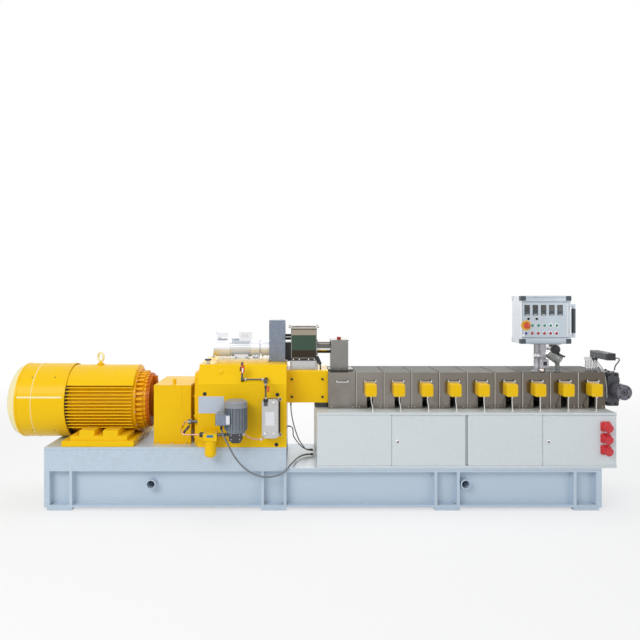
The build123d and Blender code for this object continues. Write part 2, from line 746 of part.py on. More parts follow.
# Cabinet
cabinet_end_x = cabinet_x + cabinet_length
cabinet_mid_x = cabinet_x + cabinet_length / 2
wall_low_z = low_top + cabinet_plate
wall_high_z = cabinet_top_z - cabinet_plate
wall_front_y = front_y + door_thickness + door_gap
wall_back_y = back_y - cabinet_back_depth
with BuildPart() as cabinet_plates:
    block((cabinet_x, front_y, wall_high_z), (cabinet_end_x, back_y, cabinet_top_z))
    block((cabinet_x, front_y, low_top), (cabinet_end_x, back_y, wall_low_z))
keep(cabinet_plates.part, "cabinet_plates")

with BuildPart() as cabinet_back:
    block((cabinet_x, wall_back_y, wall_low_z), (cabinet_end_x, back_y, wall_high_z))
keep(cabinet_back.part, "cabinet_back")

with BuildPart() as cabinet_walls:
    for wall_x in (cabinet_x, cabinet_mid_x - cabinet_plate / 2, cabinet_end_x - cabinet_plate):
        block((wall_x, wall_front_y, wall_low_z), (wall_x + cabinet_plate, wall_back_y, wall_high_z))
keep(cabinet_walls.part, "cabinet_walls")

door_low_z = wall_low_z + door_gap
door_high_z = wall_high_z - door_gap
leaf_width = (cabinet_length - door_mid_gap - 2 * door_gap) / 4
pin_inset = door_thickness / 2
leaf_starts = [cabinet_x, cabinet_x + leaf_width + door_gap, cabinet_mid_x + door_mid_gap / 2,
               cabinet_mid_x + door_mid_gap / 2 + leaf_width + door_gap]
pin_places = [leaf_starts[0] + pin_inset, leaf_starts[1] + leaf_width - pin_inset,
              leaf_starts[2] + pin_inset, leaf_starts[3] + leaf_width - pin_inset]
pin_y = front_y + pin_inset

for number, (leaf_x, pin_x) in enumerate(zip(leaf_starts, pin_places)):
    with BuildPart() as leaf:
        block((leaf_x, front_y, door_low_z), (leaf_x + leaf_width, front_y + door_thickness, door_high_z))
        hinge_edges = leaf.edges().filter_by(Axis.Z).sort_by(Axis.X)
        hinge_edges = hinge_edges[:2] if pin_x < leaf_x + leaf_width / 2 else hinge_edges[-2:]
        fillet(hinge_edges, pin_inset - 0.5)
        for end_z in (door_low_z, door_high_z):
            with Locations((pin_x, pin_y, end_z)):
                Cylinder(door_pin_diameter / 2 + door_pin_clearance, 2 * door_pin_reach, mode=Mode.SUBTRACT)
        if number in (1, 3):
            lock_x = leaf_x + lock_inset
            rod((lock_x, front_y - lock_stand, lock_z), (lock_x, front_y, lock_z), lock_diameter, 16)
    keep(leaf.part, f"door_leaf_{number + 1}")

with BuildPart() as pivots:
    collar = door_gap - door_seat_clearance
    for pin_x in pin_places:
        for plate_z, way in ((wall_low_z, 1), (wall_high_z, -1)):
            rod((pin_x, pin_y, plate_z), (pin_x, pin_y, plate_z + way * door_pin_reach), door_pin_diameter)
            rod((pin_x, pin_y, plate_z), (pin_x, pin_y, plate_z + way * collar), door_pin_diameter + 8, 12)
keep(pivots.part, "door_pivots")

with BuildPart() as sockets:
    socket_x = cabinet_end_x - socket_inset
    for number in range(3):
        place = Vector(socket_x, front_y, socket_z - number * socket_pitch)
        half_flange = socket_flange / 2
        block((place.X - half_flange, front_y - 12, place.Z - half_flange),
              (place.X + half_flange, front_y, place.Z + half_flange))
        nose = place + Vector(14, -socket_reach, -16)
        rod(place + Vector(0, -14, 0), nose, socket_nose_diameter, 16)
        rod(nose, nose + (nose - place).normalized() * 8, socket_nose_diameter + 10, 16)
keep(sockets.part, "power_sockets")

# Feeder on the gearbox and the lantern
feeder_motor_x = gearbox_x + feeder_motor_offset
feeder_guard_x = step_x - feeder_guard_offset
feeder_radius = feeder_motor_diameter / 2
with BuildPart() as feeder_motor:
    stepped(feeder_motor_x, mid_y, feeder_axis_z, 32,
            [(0, 14, feeder_radius - 6), (14, 153, feeder_radius), (153, 343, feeder_radius - 10),
             (343, 427, feeder_radius - 4), (427, 440, 58), (440, feeder_guard_x - feeder_motor_x, 76)])
    block((feeder_motor_x + 190, mid_y - 60, riser_top_z),
          (feeder_motor_x + 320, mid_y + 60, feeder_axis_z - 60))
    block((feeder_motor_x + 360, mid_y - 50, riser_top_z),
          (feeder_motor_x + 420, mid_y + 50, feeder_axis_z - 60))
    block((feeder_motor_x + 30, mid_y - 12, feeder_axis_z + 70), (feeder_motor_x + 60, mid_y + 12, 1482))
    block((feeder_motor_x + 24, mid_y - 45, 1479), (feeder_motor_x + 124, mid_y + 45, 1521))
    block((feeder_motor_x + 234, mid_y - 50, feeder_axis_z + 60), (feeder_motor_x + 348, mid_y + 50, 1526))
keep(feeder_motor.part, "feeder_motor")

with BuildPart() as feeder_guard:
    block((feeder_guard_x, mid_y - feeder_guard_width / 2, gearbox_top_z),
          (feeder_guard_x + feeder_guard_length, mid_y + feeder_guard_width / 2,
           gearbox_top_z + feeder_guard_height))
    chamfer(feeder_guard.edges().filter_by(Axis.X).group_by(Axis.Z)[-1], 6)
keep(feeder_guard.part, "feeder_drive_guard")

hopper_x = step_x + hopper_offset
hopper_end_x = hopper_x + hopper_length
hopper_low_z = lantern_top_z + feeder_base_height
hopper_top_z = hopper_low_z + hopper_height
hopper_front_y = mid_y - hopper_width / 2
hopper_back_y = mid_y + hopper_width / 2
with BuildPart() as feeder_base:
    channel = (hopper_x - 8, hopper_end_x + 10)
    block((channel[0], hopper_front_y + 20, lantern_top_z),
          (channel[1], hopper_back_y - 20, hopper_low_z - 8))
    block((channel[0], hopper_front_y - 6, lantern_top_z),
          (channel[1], hopper_front_y + 20, lantern_top_z + 8))
    block((channel[0], hopper_back_y - 20, lantern_top_z), (channel[1], hopper_back_y + 6, lantern_top_z + 8))
    block((step_x + 2, hopper_front_y - 6, hopper_low_z - 8), (channel[1], hopper_back_y + 6, hopper_low_z))
    for stud_x in (channel[0] + 12, channel[1] - 12):
        for stud_y in (hopper_front_y + 4, hopper_back_y - 4):
            rod((stud_x, stud_y, lantern_top_z + 8), (stud_x, stud_y, hopper_low_z - 8), 14, 8)
keep(feeder_base.part, "feeder_base")

with BuildPart() as feeder_bearings:
    block((feeder_guard_x + feeder_guard_length, mid_y - 42, hopper_low_z),
          (hopper_x, mid_y + 42, feeder_axis_z + 52))
    rod((feeder_guard_x + feeder_guard_length, mid_y - 30, 1496), (hopper_x, mid_y - 30, 1496), 26, 12)
    rod((feeder_guard_x + feeder_guard_length, mid_y + 30, 1462), (hopper_x, mid_y + 30, 1462), 26, 12)
keep(feeder_bearings.part, "feeder_bearings")

with BuildPart() as hopper:
    block((hopper_x, hopper_front_y, hopper_low_z), (hopper_end_x, hopper_back_y, hopper_top_z))
    block((hopper_x - hopper_flange, hopper_front_y - hopper_flange, hopper_top_z - 6),
          (hopper_end_x + hopper_flange, hopper_back_y + hopper_flange, hopper_top_z))
    cavity_low = feeder_axis_z + screw_tube_diameter / 2
    block((hopper_x + hopper_wall, hopper_front_y + hopper_wall, cavity_low),
          (hopper_end_x - hopper_wall, hopper_back_y - hopper_wall, hopper_top_z), Mode.SUBTRACT)
keep(hopper.part, "feeder_hopper")

down_pipe_x = covers_x + 33
down_pipe_end_x = down_pipe_x + down_pipe_length
with BuildPart() as screw_tube:
    tube_radius = screw_tube_diameter / 2
    stepped(hopper_end_x, mid_y, feeder_axis_z, 32,
            [(0, 10, tube_radius + 22), (10, down_pipe_x - hopper_end_x, tube_radius)])
keep(screw_tube.part, "feeder_screw_tube")

pipe_top_z = cover_top_z + down_pipe_height
with BuildPart() as down_pipe:
    pipe_half = down_pipe_width / 2
    block((down_pipe_x - 24, mid_y - pipe_half - 24, cover_top_z),
          (down_pipe_end_x + 44, mid_y + pipe_half + 24, cover_top_z + 12))
    block((down_pipe_x, mid_y - pipe_half, cover_top_z + 12),
          (down_pipe_end_x, mid_y + pipe_half, pipe_top_z))
    block((down_pipe_x - 6, mid_y - pipe_half - 6, pipe_top_z), (down_pipe_end_x + 6, mid_y + pipe_half + 6,
                                                                 pipe_top_z + 6))
    knob_x = (down_pipe_x + down_pipe_end_x) / 2
    rod((knob_x, mid_y, pipe_top_z + 6), (knob_x, mid_y, pipe_top_z + 30), 34, 12)
keep(down_pipe.part, "feeder_down_pipe")

# Control box and its arm
control_x = covers_x + control_offset
control_end_x = control_x + control_width
control_front_y = cover_front_y - control_reach
control_back_y = control_front_y + control_depth
control_low_z = control_top_z - control_height
with BuildPart() as control_box:
    block((control_x, control_front_y + 8, control_low_z + 8),
          (control_end_x, control_back_y - 8, control_top_z - 8))
    block((control_x, control_front_y, control_top_z - control_rail),
          (control_end_x, control_back_y, control_top_z))
    block((control_x, control_front_y, control_low_z),
          (control_end_x, control_back_y, control_low_z + control_rail))
    fillet(control_box.edges().filter_by(Axis.X).group_by(Axis.Z)[0], 8)
    fillet(control_box.edges().filter_by(Axis.X).group_by(Axis.Z)[-1], 8)
    grip_y = (control_front_y + control_back_y) / 2
    for grip_z in (control_low_z + 60, control_top_z - 88):
        block((control_end_x, grip_y - 14, grip_z - 12), (control_end_x + 84, grip_y + 14, grip_z + 12))
    block((control_end_x + 60, grip_y - 14, control_low_z + 48),
          (control_end_x + 84, grip_y + 14, control_top_z - 76))
keep(control_box.part, "control_box")

panel_y = control_front_y + 8
with BuildPart() as control_buttons:
    for number in range(5):
        display_x = control_x + 58 + 73 * number
        block((display_x - 24, panel_y - 9, 1694), (display_x + 24, panel_y, 1787))
    for knob_x in (control_x + 68, control_x + 142):
        rod((knob_x, panel_y - 14, 1664), (knob_x, panel_y, 1664), 26, 10)
    rod((control_x + 50, panel_y - 6, 1605), (control_x + 50, panel_y, 1605), 90, 24)
    rod((control_x + 50, panel_y - 34, 1605), (control_x + 50, panel_y - 6, 1605), 42, 16)
    for number in range(5):
        button_x = control_x + 104 + 54 * number
        rod((button_x, panel_y - 12, 1605), (button_x, panel_y, 1605), 28, 12)
    for number in range(6):
        button_x = control_x + 48 + 54 * number
        rod((button_x, panel_y - 12, 1535), (button_x, panel_y, 1535), 28, 12)
keep(control_buttons.part, "control_buttons")

arm_x = control_x + control_arm_offset
arm_y = cover_front_y + 60
arm_plate_z = control_low_z - arm_plate_thickness
vent_x = arm_x + vent_offset
with BuildPart() as control_arm:
    rod((arm_x, arm_y, cover_top_z + 10), (arm_x, arm_y, arm_plate_z), control_arm_diameter)
    rod((arm_x, arm_y, cover_top_z), (arm_x, arm_y, cover_top_z + 10), 2 * control_arm_diameter, 16)
    block((arm_x - 45, arm_y - 60, arm_plate_z), (vent_x + 14, arm_y + 60, control_low_z))
    block((arm_x + 20, arm_y - 40, arm_block_low_z), (arm_x + 99, arm_y + 34, arm_block_high_z))
    block((arm_x + 27, arm_y - 30, arm_block_high_z), (arm_x + 78, arm_y + 30, arm_plate_z))
    rod((arm_x + 62, arm_y, cover_top_z), (arm_x + 62, arm_y, arm_block_low_z), 26, 12)
keep(control_arm.part, "control_arm")

drum_tilt = radians(35)
drum_way = Vector(cos(drum_tilt), 0, -sin(drum_tilt))
drum_middle = Vector(vent_x - 38, arm_y, vent_drum_z)
drum_start = drum_middle - drum_way * vent_drum_length / 2
drum_end = drum_middle + drum_way * vent_drum_length / 2
knuckle_z = arm_plate_z - vent_knuckle_diameter / 2 - seat
with BuildPart() as vent_stack:
    rod((vent_x, arm_y, cover_top_z), (vent_x, arm_y, cover_top_z + 8), vent_diameter + 26, 20)
    rod((vent_x, arm_y, cover_top_z + 8), (vent_x, arm_y, vent_drum_z - vent_drum_diameter / 2),
        vent_diameter, 24)
    rod(drum_start, drum_end, vent_drum_diameter, 24)
    rod(drum_end, drum_end + drum_way * 12, vent_drum_diameter + 10, 24)
    rod((vent_x - 36, arm_y - 45, knuckle_z), (vent_x - 36, arm_y + 45, knuckle_z), vent_knuckle_diameter, 24)
keep(vent_stack.part, "vent_stack")

# Die head
die_x = covers_end_x + die_adapter_length
die_end_x = die_x + die_block_length
die_front_y = mid_y - die_block_width / 2
die_low_z = barrel_axis_z - die_block_height / 2 - 5
die_high_z = die_low_z + die_block_height
with BuildPart() as die_block:
    rod((covers_end_x - cover_seam, mid_y, barrel_axis_z), (die_x, mid_y, barrel_axis_z), 260, 32)
    block((die_x, die_front_y, die_low_z), (die_end_x, mid_y + die_block_width / 2, die_high_z))
    band_low_z = die_low_z + 42
    band_high_z = die_high_z - 48
    block((die_x + 20, die_front_y + 20, band_low_z),
          (die_end_x + 16, mid_y + die_block_width / 2 - 20, band_high_z))
    connector_y = cover_front_y + 25
    block((covers_end_x, connector_y, die_connector_z - 30), (die_x, mid_y - 100, die_connector_z))
    chamfer(die_block.edges().filter_by(Axis.Y).group_by(Axis.X)[-2], 10)
keep(die_block.part, "die_block")

cylinder_x = die_end_x - die_cylinder_inset
cylinder_z = barrel_axis_z - 15
with BuildPart() as die_cylinder:
    end_y = die_front_y - die_cylinder_length
    rod((cylinder_x, die_front_y, cylinder_z), (cylinder_x, end_y, cylinder_z), die_cylinder_diameter, 32)
    rod((cylinder_x, end_y, cylinder_z), (cylinder_x, end_y + 10, cylinder_z), 60, 20, Mode.SUBTRACT)
    rod((cylinder_x, end_y + 2, cylinder_z), (cylinder_x, end_y + 10, cylinder_z), 28, 12)
    for side_x in (-37, 37):
        for side_z in (-37, 37):
            rod((cylinder_x + side_x, end_y, cylinder_z + side_z),
                (cylinder_x + side_x, end_y + 14, cylinder_z + side_z), 15, 10, Mode.SUBTRACT)
keep(die_cylinder.part, "die_cylinder")

die_box_x = covers_end_x - 52
die_box_low_z = cover_top_z + die_box_clearance
die_box_y = cover_front_y - 140
die_box_top_z = die_box_low_z + die_box_height
with BuildPart() as die_box:
    block((die_box_x, die_box_y, die_box_low_z), (die_box_x + die_box_width, die_box_y + die_box_length,
                                                  die_box_top_z))
    block((die_box_x - 3, die_box_y + 14, die_box_low_z + 5), (die_box_x, die_box_y + die_box_length - 14,
                                                              die_box_top_z - 5))
    for cable_x in (die_box_x + 10, die_box_x + 36):
        rod((cable_x, die_box_y + 280, die_box_low_z - gland_length),
            (cable_x, die_box_y + 280, die_box_low_z), 20, 8)
    hose_y = die_box_y + 30
    hose_z = die_box_low_z + 18
    rod((die_box_x + die_box_width, hose_y, hose_z),
        (die_box_x + die_box_width + gland_length, hose_y, hose_z), 22, 8)
keep(die_box.part, "die_junction_box")

with BuildPart() as die_fittings:
    manifold_y = die_box_y + die_box_length - 34
    for number in range(5):
        fitting_x = covers_end_x - 104 + 24 * number
        rod((fitting_x, manifold_y, cover_top_z), (fitting_x, manifold_y, die_box_low_z - 26), 18, 10)
        rod((fitting_x, manifold_y, cover_top_z + 16), (fitting_x, manifold_y, cover_top_z + 34), 22, 6)
    block((covers_end_x - 116, manifold_y - 12, die_box_low_z - 26),
          (covers_end_x + 4, manifold_y + 12, die_box_low_z))
keep(die_fittings.part, "die_fittings")

# Cords
lantern_port_z = lantern_low_z - gland_length
gearbox_port_y = front_y + 300
gearbox_port_z = 671
entry_x = cabinet_x - gland_length
entry_z = 385
pump_entry_y = front_y + 420
sensor_entry_z = 410
with BuildPart() as cable_glands:
    rod((entry_x, pump_entry_y, entry_z), (cabinet_x, pump_entry_y, entry_z), 26, 12)
    for gland_y in (front_y + 460, front_y + 505):
        rod((entry_x, gland_y, sensor_entry_z), (cabinet_x, gland_y, sensor_entry_z), 20, 12)
    rod((step_x, gearbox_port_y, gearbox_port_z), (step_x + gland_length, gearbox_port_y, gearbox_port_z),
        20, 12)
keep(cable_glands.part, "cable_glands")

pump_cable_points = [
    pump_gland, (pump_gland[0], pump_gland[1], 722), (pump_x - 87, pump_y - 18, 655),
    (pump_x - 53, pump_y - 10, 580), (pump_x - 4, pump_y + 16, 478), (pump_x + 73, pump_y + 52, 382),
    (pump_x + 163, pump_y + 75, 322), (step_x - 160, front_y - 38, 297), (step_x - 70, front_y - 28, 314),
    (step_x - 15, front_y - 24, 345), (step_x + 27, front_y - 10, 392), (step_x + 53, front_y + 60, 402),
    (step_x + 67, front_y + 150, 390), (step_x + 83, front_y + 240, 386), (step_x + 120, front_y + 330, 388),
    (step_x + 159, front_y + 395, 385), (entry_x - 51, pump_entry_y, entry_z),
    (entry_x, pump_entry_y, entry_z)]
with BuildPart() as pump_cable:
    add(cord("pump cable", pump_cable_points, pump_cable_diameter))
keep(pump_cable.part, "pump_cable")

lantern_cable_points = [
    (lantern_port_x, mid_y - 195, lantern_port_z), (lantern_port_x, mid_y - 195, lantern_port_z - 50),
    (step_x + 47, front_y + 268, 760), (step_x + 62, front_y + 288, 690), (step_x + 84, front_y + 310, 612),
    (step_x + 108, front_y + 334, 540), (step_x + 148, front_y + 360, 478),
    (step_x + 172, front_y + 402, 436),
    (step_x + 196, front_y + 438, 418), (entry_x - 32, front_y + 460, 410), (entry_x, front_y + 460, 410)]
gearbox_cable_points = [
    (step_x + gland_length, gearbox_port_y, gearbox_port_z), (step_x + 36, gearbox_port_y, gearbox_port_z),
    (step_x + 53, front_y + 310, 652), (step_x + 58, front_y + 332, 614), (step_x + 56, front_y + 372, 572),
    (step_x + 76, front_y + 406, 528), (step_x + 116, front_y + 430, 472), (step_x + 160, front_y + 450, 430),
    (step_x + 194, front_y + 484, 413), (entry_x - 32, front_y + 505, 410), (entry_x, front_y + 505, 410)]
with BuildPart() as sensor_cables:
    add(cord("lantern cable", lantern_cable_points, sensor_cable_diameter))
    add(cord("gearbox cable", gearbox_cable_points, sensor_cable_diameter))
keep(sensor_cables.part, "sensor_cables")

cable_y = die_box_y + 280
die_cable_top = die_box_low_z - gland_length
with BuildPart() as die_cables:
    for start_x, drop_x in ((die_box_x + 10, covers_end_x + 13), (die_box_x + 36, covers_end_x + 31)):
        add(cord("die heater cable",
                 [(start_x, cable_y, die_cable_top), (start_x, cable_y, die_cable_top - 26),
                  ((start_x + drop_x) / 2, cable_y - 18, die_cable_top - 58),
                  (drop_x - 2, cable_y - 44, die_cable_top - 102),
                  (drop_x, cable_y - 74, die_cable_top - 178),
                  (drop_x, connector_y + 18, die_cable_top - 266),
                  (drop_x, connector_y + 18, die_connector_z)], die_cable_diameter))
keep(die_cables.part, "die_heater_cables")

hose_x = die_box_x + die_box_width + gland_length
with BuildPart() as die_hose:
    add(cord("die hose", [(hose_x, hose_y, hose_z), (hose_x + 27, hose_y, hose_z),
                          (hose_x + 49, hose_y + 22, hose_z - 16), (hose_x + 60, hose_y + 75, hose_z - 48),
                          (hose_x + 70, hose_y + 128, hose_z - 72), (hose_x + 80, hose_y + 168, hose_z - 94),
                          (hose_x + 85, hose_y + 188, hose_z - 118),
                          (hose_x + 85, hose_y + 188, die_high_z)], die_hose_diameter))
keep(die_hose.part, "die_hose")
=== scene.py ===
import json
import math
from collections import defaultdict
from itertools import product

import bmesh
import bpy
from mathutils import Matrix, Vector


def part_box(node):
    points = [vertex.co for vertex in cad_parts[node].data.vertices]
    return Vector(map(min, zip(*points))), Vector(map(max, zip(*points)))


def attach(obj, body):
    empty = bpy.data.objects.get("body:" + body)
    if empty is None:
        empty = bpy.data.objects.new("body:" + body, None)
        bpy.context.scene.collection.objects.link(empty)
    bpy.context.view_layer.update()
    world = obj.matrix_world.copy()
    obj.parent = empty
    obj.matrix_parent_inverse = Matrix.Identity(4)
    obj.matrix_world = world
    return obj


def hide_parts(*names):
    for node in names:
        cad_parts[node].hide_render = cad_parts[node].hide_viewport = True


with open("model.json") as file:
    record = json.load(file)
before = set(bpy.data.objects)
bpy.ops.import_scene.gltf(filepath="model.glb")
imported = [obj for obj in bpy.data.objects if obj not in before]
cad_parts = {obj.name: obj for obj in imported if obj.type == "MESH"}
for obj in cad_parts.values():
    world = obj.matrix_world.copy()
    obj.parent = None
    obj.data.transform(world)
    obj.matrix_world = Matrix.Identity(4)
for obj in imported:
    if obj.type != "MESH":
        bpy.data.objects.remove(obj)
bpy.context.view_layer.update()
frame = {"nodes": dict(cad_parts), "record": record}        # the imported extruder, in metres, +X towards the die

nodes = frame["nodes"]
print("extruder frame loaded with", len(nodes), "nodes")


def lowOf(node):
    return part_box(node)[0]


def highOf(node):
    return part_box(node)[1]


# key lines of the machine that the loose pieces are set out from
frontY = lowOf("raised_side_beams").y
backY = highOf("raised_side_beams").y
midY = (frontY + backY) / 2
stepX = highOf("raised_side_beams").x          # where the raised base meets the low one
gearboxX = stepX - 0.773
coversX = lowOf("feed_cover").x
coverDepth, coverPitch = 0.5, 0.25
coverFrontY, coverBackY = midY - coverDepth / 2, midY + coverDepth / 2
deckTop = lowOf("motor_foot_plate").z
motorAxis = Vector((0, midY, (lowOf("motor_fan_cowl").z + highOf("motor_fan_cowl").z) / 2))
bodyX = highOf("motor_fan_cowl").x
shieldX = lowOf("motor_end_shield").x
front, back, up, down = Vector((0, -1, 0)), Vector((0, 1, 0)), Vector((0, 0, 1)), Vector((0, 0, -1))
leftWay, rightWay = Vector((-1, 0, 0)), Vector((1, 0, 0))


def newObject(name, data):
    thing = bpy.data.objects.new(name, data)
    bpy.context.collection.objects.link(thing)
    return thing


cameraSettings = {"place": (-0.1815, -5.937, 1.92), "lens": 36.2, "shiftX": 0.039, "shiftY": -0.047}
cameraData = bpy.data.cameras.new("hallCamera")
cameraData.lens = cameraSettings["lens"]
cameraData.shift_x = cameraSettings["shiftX"]
cameraData.shift_y = cameraSettings["shiftY"]
cameraData.clip_end = 60
camera = newObject("hallCamera", cameraData)
camera.location = cameraSettings["place"]
camera.rotation_euler = (math.radians(90), 0, 0)
bpy.context.scene.camera = camera
bpy.context.scene.view_settings.view_transform = "Standard"
print("camera set")


def newGroup(name, inputs, outputs):
    tree = bpy.data.node_groups.new(name, "ShaderNodeTree")
    for label, kind, value in inputs:
        socket = tree.interface.new_socket(label, in_out="INPUT", socket_type="NodeSocket" + kind)
        socket.default_value = value
    for label, kind in outputs:
        tree.interface.new_socket(label, in_out="OUTPUT", socket_type="NodeSocket" + kind)
    return tree, tree.nodes.new("NodeGroupInput"), tree.nodes.new("NodeGroupOutput")


def join(tree, source, output, target, slot):
    tree.links.new(source.outputs[output], target.inputs[slot])


def feed(tree, value, node, slot):
    # value: a plain number, or a node and the name of its output
    if isinstance(value, tuple):
        join(tree, *value, node, slot)
    else:
        node.inputs[slot].default_value = value


def mathNode(tree, operation, first, second, clamp=False):
    node = tree.nodes.new("ShaderNodeMath")
    node.operation = operation
    node.use_clamp = clamp
    feed(tree, first, node, 0)
    feed(tree, second, node, 1)
    return node


def objectCoords(tree):
    return tree.nodes.new("ShaderNodeTexCoord"), "Object"


def noiseNode(tree, scale, detail, roughness=0.5, coords=None):
    node = tree.nodes.new("ShaderNodeTexNoise")
    join(tree, *(coords or objectCoords(tree)), node, "Vector")
    node.inputs["Detail"].default_value = detail
    node.inputs["Roughness"].default_value = roughness
    feed(tree, scale, node, "Scale")
    return node


def rangeNode(tree, source, low, high, toLow=0.0, toHigh=1.0):
    node = tree.nodes.new("ShaderNodeMapRange")
    join(tree, *source, node, "Value")
    for label, value in (("From Min", low), ("From Max", high), ("To Min", toLow), ("To Max", toHigh)):
        feed(tree, value, node, label)
    return node


def rgba(color):
    return (*color, 1.0)


def mixColors(tree, factor, first, second):
    mix = tree.nodes.new("ShaderNodeMix")
    mix.data_type = "RGBA"
    tree.links.new(factor, mix.inputs[0])
    for slot, value in ((6, first), (7, second)):
        if isinstance(value, bpy.types.NodeSocket):
            tree.links.new(value, mix.inputs[slot])
        else:
            mix.inputs[slot].default_value = rgba(value)
    return mix.outputs[2]


def makeTonalDrift():
    # slow change of tone over a panel
    tree, start, end = newGroup("tonalDrift", [("Color", "Color", (1, 1, 1, 1)),
                                               ("Shade", "Color", (0.5, 0.5, 0.5, 1)),
                                               ("Scale", "Float", 2.0), ("Share", "Float", 0.5)],
                                [("Color", "Color")])
    noise = noiseNode(tree, (start, "Scale"), 4.0, 0.55)
    spread = rangeNode(tree, (noise, "Fac"), 0.3, 0.72)
    share = mathNode(tree, "MULTIPLY", (spread, "Result"), (start, "Share"))
    mixed = mixColors(tree, share.outputs[0], start.outputs["Color"], start.outputs["Shade"])
    tree.links.new(mixed, end.inputs["Color"])
    return tree


def makeEdgeWear():
    # rubbed paint along outer edges, broken up by noise
    tree, start, end = newGroup("edgeWear", [("Amount", "Float", 0.5), ("Scale", "Float", 30.0)],
                                [("Mask", "Float")])
    shape = tree.nodes.new("ShaderNodeNewGeometry")
    edge = rangeNode(tree, (shape, "Pointiness"), 0.515, 0.60)
    noise = noiseNode(tree, (start, "Scale"), 6.0, 0.65)
    broken = rangeNode(tree, (noise, "Fac"), 0.45, 0.62)
    both = mathNode(tree, "MULTIPLY", (edge, "Result"), (broken, "Result"))
    scaled = mathNode(tree, "MULTIPLY", (both, 0), (start, "Amount"), clamp=True)
    join(tree, scaled, 0, end, "Mask")
    return tree


def makeShopDust():
    # grey dust on faces that look up
    tree, start, end = newGroup("shopDust", [("Amount", "Float", 0.3), ("Scale", "Float", 9.0)],
                                [("Mask", "Float")])
    shape = tree.nodes.new("ShaderNodeNewGeometry")
    split = tree.nodes.new("ShaderNodeSeparateXYZ")
    join(tree, shape, "Normal", split, 0)
    upward = rangeNode(tree, (split, "Z"), 0.55, 1.0)
    noise = noiseNode(tree, (start, "Scale"), 5.0, 0.6)
    patches = rangeNode(tree, (noise, "Fac"), 0.3, 0.75)
    both = mathNode(tree, "MULTIPLY", (upward, "Result"), (patches, "Result"))
    scaled = mathNode(tree, "MULTIPLY", (both, 0), (start, "Amount"), clamp=True)
    join(tree, scaled, 0, end, "Mask")
    return tree


def makeSmudges():
    # uneven gloss
    tree, start, end = newGroup("smudges", [("Low", "Float", 0.2), ("High", "Float", 0.4),
                                            ("Scale", "Float", 6.0)], [("Value", "Float")])
    noise = noiseNode(tree, (start, "Scale"), 5.0, 0.6)
    spread = rangeNode(tree, (noise, "Fac"), 0.3, 0.7, (start, "Low"), (start, "High"))
    join(tree, spread, "Result", end, "Value")
    return tree


def makeSurfaceGrain():
    # fine bumps: orange peel in paint, sand texture in castings
    tree, start, end = newGroup("surfaceGrain", [("Scale", "Float", 300.0), ("Roughness", "Float", 0.5)],
                                [("Height", "Float")])
    noise = noiseNode(tree, (start, "Scale"), 3.0)
    join(tree, start, "Roughness", noise, "Roughness")
    join(tree, noise, "Fac", end, "Height")
    return tree


def makeBrushLines():
    # fine lines left by brushing or rolling; Stretch sets how each axis is scaled
    tree, start, end = newGroup("brushLines", [("Stretch", "Vector", (8.0, 8.0, 700.0)),
                                               ("Depth", "Float", 0.5)],
                                [("Value", "Float"), ("Height", "Float")])
    mapping = tree.nodes.new("ShaderNodeMapping")
    join(tree, *objectCoords(tree), mapping, "Vector")
    join(tree, start, "Stretch", mapping, "Scale")
    noise = noiseNode(tree, 1.0, 4.0, 0.7, (mapping, "Vector"))
    height = mathNode(tree, "MULTIPLY", (noise, "Fac"), (start, "Depth"))
    join(tree, noise, "Fac", end, "Value")
    join(tree, height, 0, end, "Height")
    return tree


def makePaintedShadeTint():
    # painted shade: brown darkening of the stainless sheet in slow clouds, stronger low down and towards the die
    tree, start, end = newGroup("paintedShadeTint", [("Low", "Float", 0.85), ("High", "Float", 1.17),
                                             ("Start", "Float", 0.1), ("End", "Float", 2.6),
                                             ("Scale", "Float", 5.0)], [("Mask", "Float")])
    coords = objectCoords(tree)
    split = tree.nodes.new("ShaderNodeSeparateXYZ")
    join(tree, *coords, split, 0)
    height = rangeNode(tree, (split, "Z"), (start, "Low"), (start, "High"), 0.75, 0.1)
    noise = noiseNode(tree, (start, "Scale"), 4.0, 0.6, coords)
    clouds = rangeNode(tree, (noise, "Fac"), 0.35, 0.68)
    along = rangeNode(tree, (split, "X"), (start, "Start"), (start, "End"), 0.1, 0.9)
    both = mathNode(tree, "MULTIPLY", (height, "Result"), (clouds, "Result"))
    mask = mathNode(tree, "MAXIMUM", (both, 0), (along, "Result"), clamp=True)
    join(tree, mask, 0, end, "Mask")
    return tree


effects = {"tonalDrift": makeTonalDrift(), "edgeWear": makeEdgeWear(), "shopDust": makeShopDust(),
           "smudges": makeSmudges(), "surfaceGrain": makeSurfaceGrain(), "brushLines": makeBrushLines(),
           "paintedShadeTint": makePaintedShadeTint()}
print("shader effects ready:", len(effects))


def effectNode(tree, name, values):
    node = tree.nodes.new("ShaderNodeGroup")
    node.node_tree = effects[name]
    for label, value in values.items():
        node.inputs[label].default_value = value
    return node


def newMaterial(name):
    material = bpy.data.materials.new(name)
    material.use_nodes = True
    return material, material.node_tree, material.node_tree.nodes["Principled BSDF"]


def bumpFrom(tree, shader, height, strength, distance):
    bump = tree.nodes.new("ShaderNodeBump")
    bump.inputs["Strength"].default_value = strength
    bump.inputs["Distance"].default_value = distance
    tree.links.new(height, bump.inputs["Height"])
    join(tree, bump, "Normal", shader, "Normal")


def beyondPlane(tree, axis, place, soft=0.001):
    # 0 before a plane and 1 beyond it, for pieces that change finish part way
    split = tree.nodes.new("ShaderNodeSeparateXYZ")
    join(tree, *objectCoords(tree), split, 0)
    return rangeNode(tree, (split, axis), place - soft, place + soft).outputs["Result"]


def toneNode(tree, s, patchScale, patchShare):
    return effectNode(tree, "tonalDrift", {
        "Color": rgba(s["color"]), "Shade": rgba(s["shade"]), "Scale": s.get("patchScale", patchScale),
        "Share": s.get("patchShare", patchShare)})


def glossNode(tree, s, scale):
    return effectNode(tree, "smudges", {"Low": s["gloss"][0], "High": s["gloss"][1], "Scale": scale})


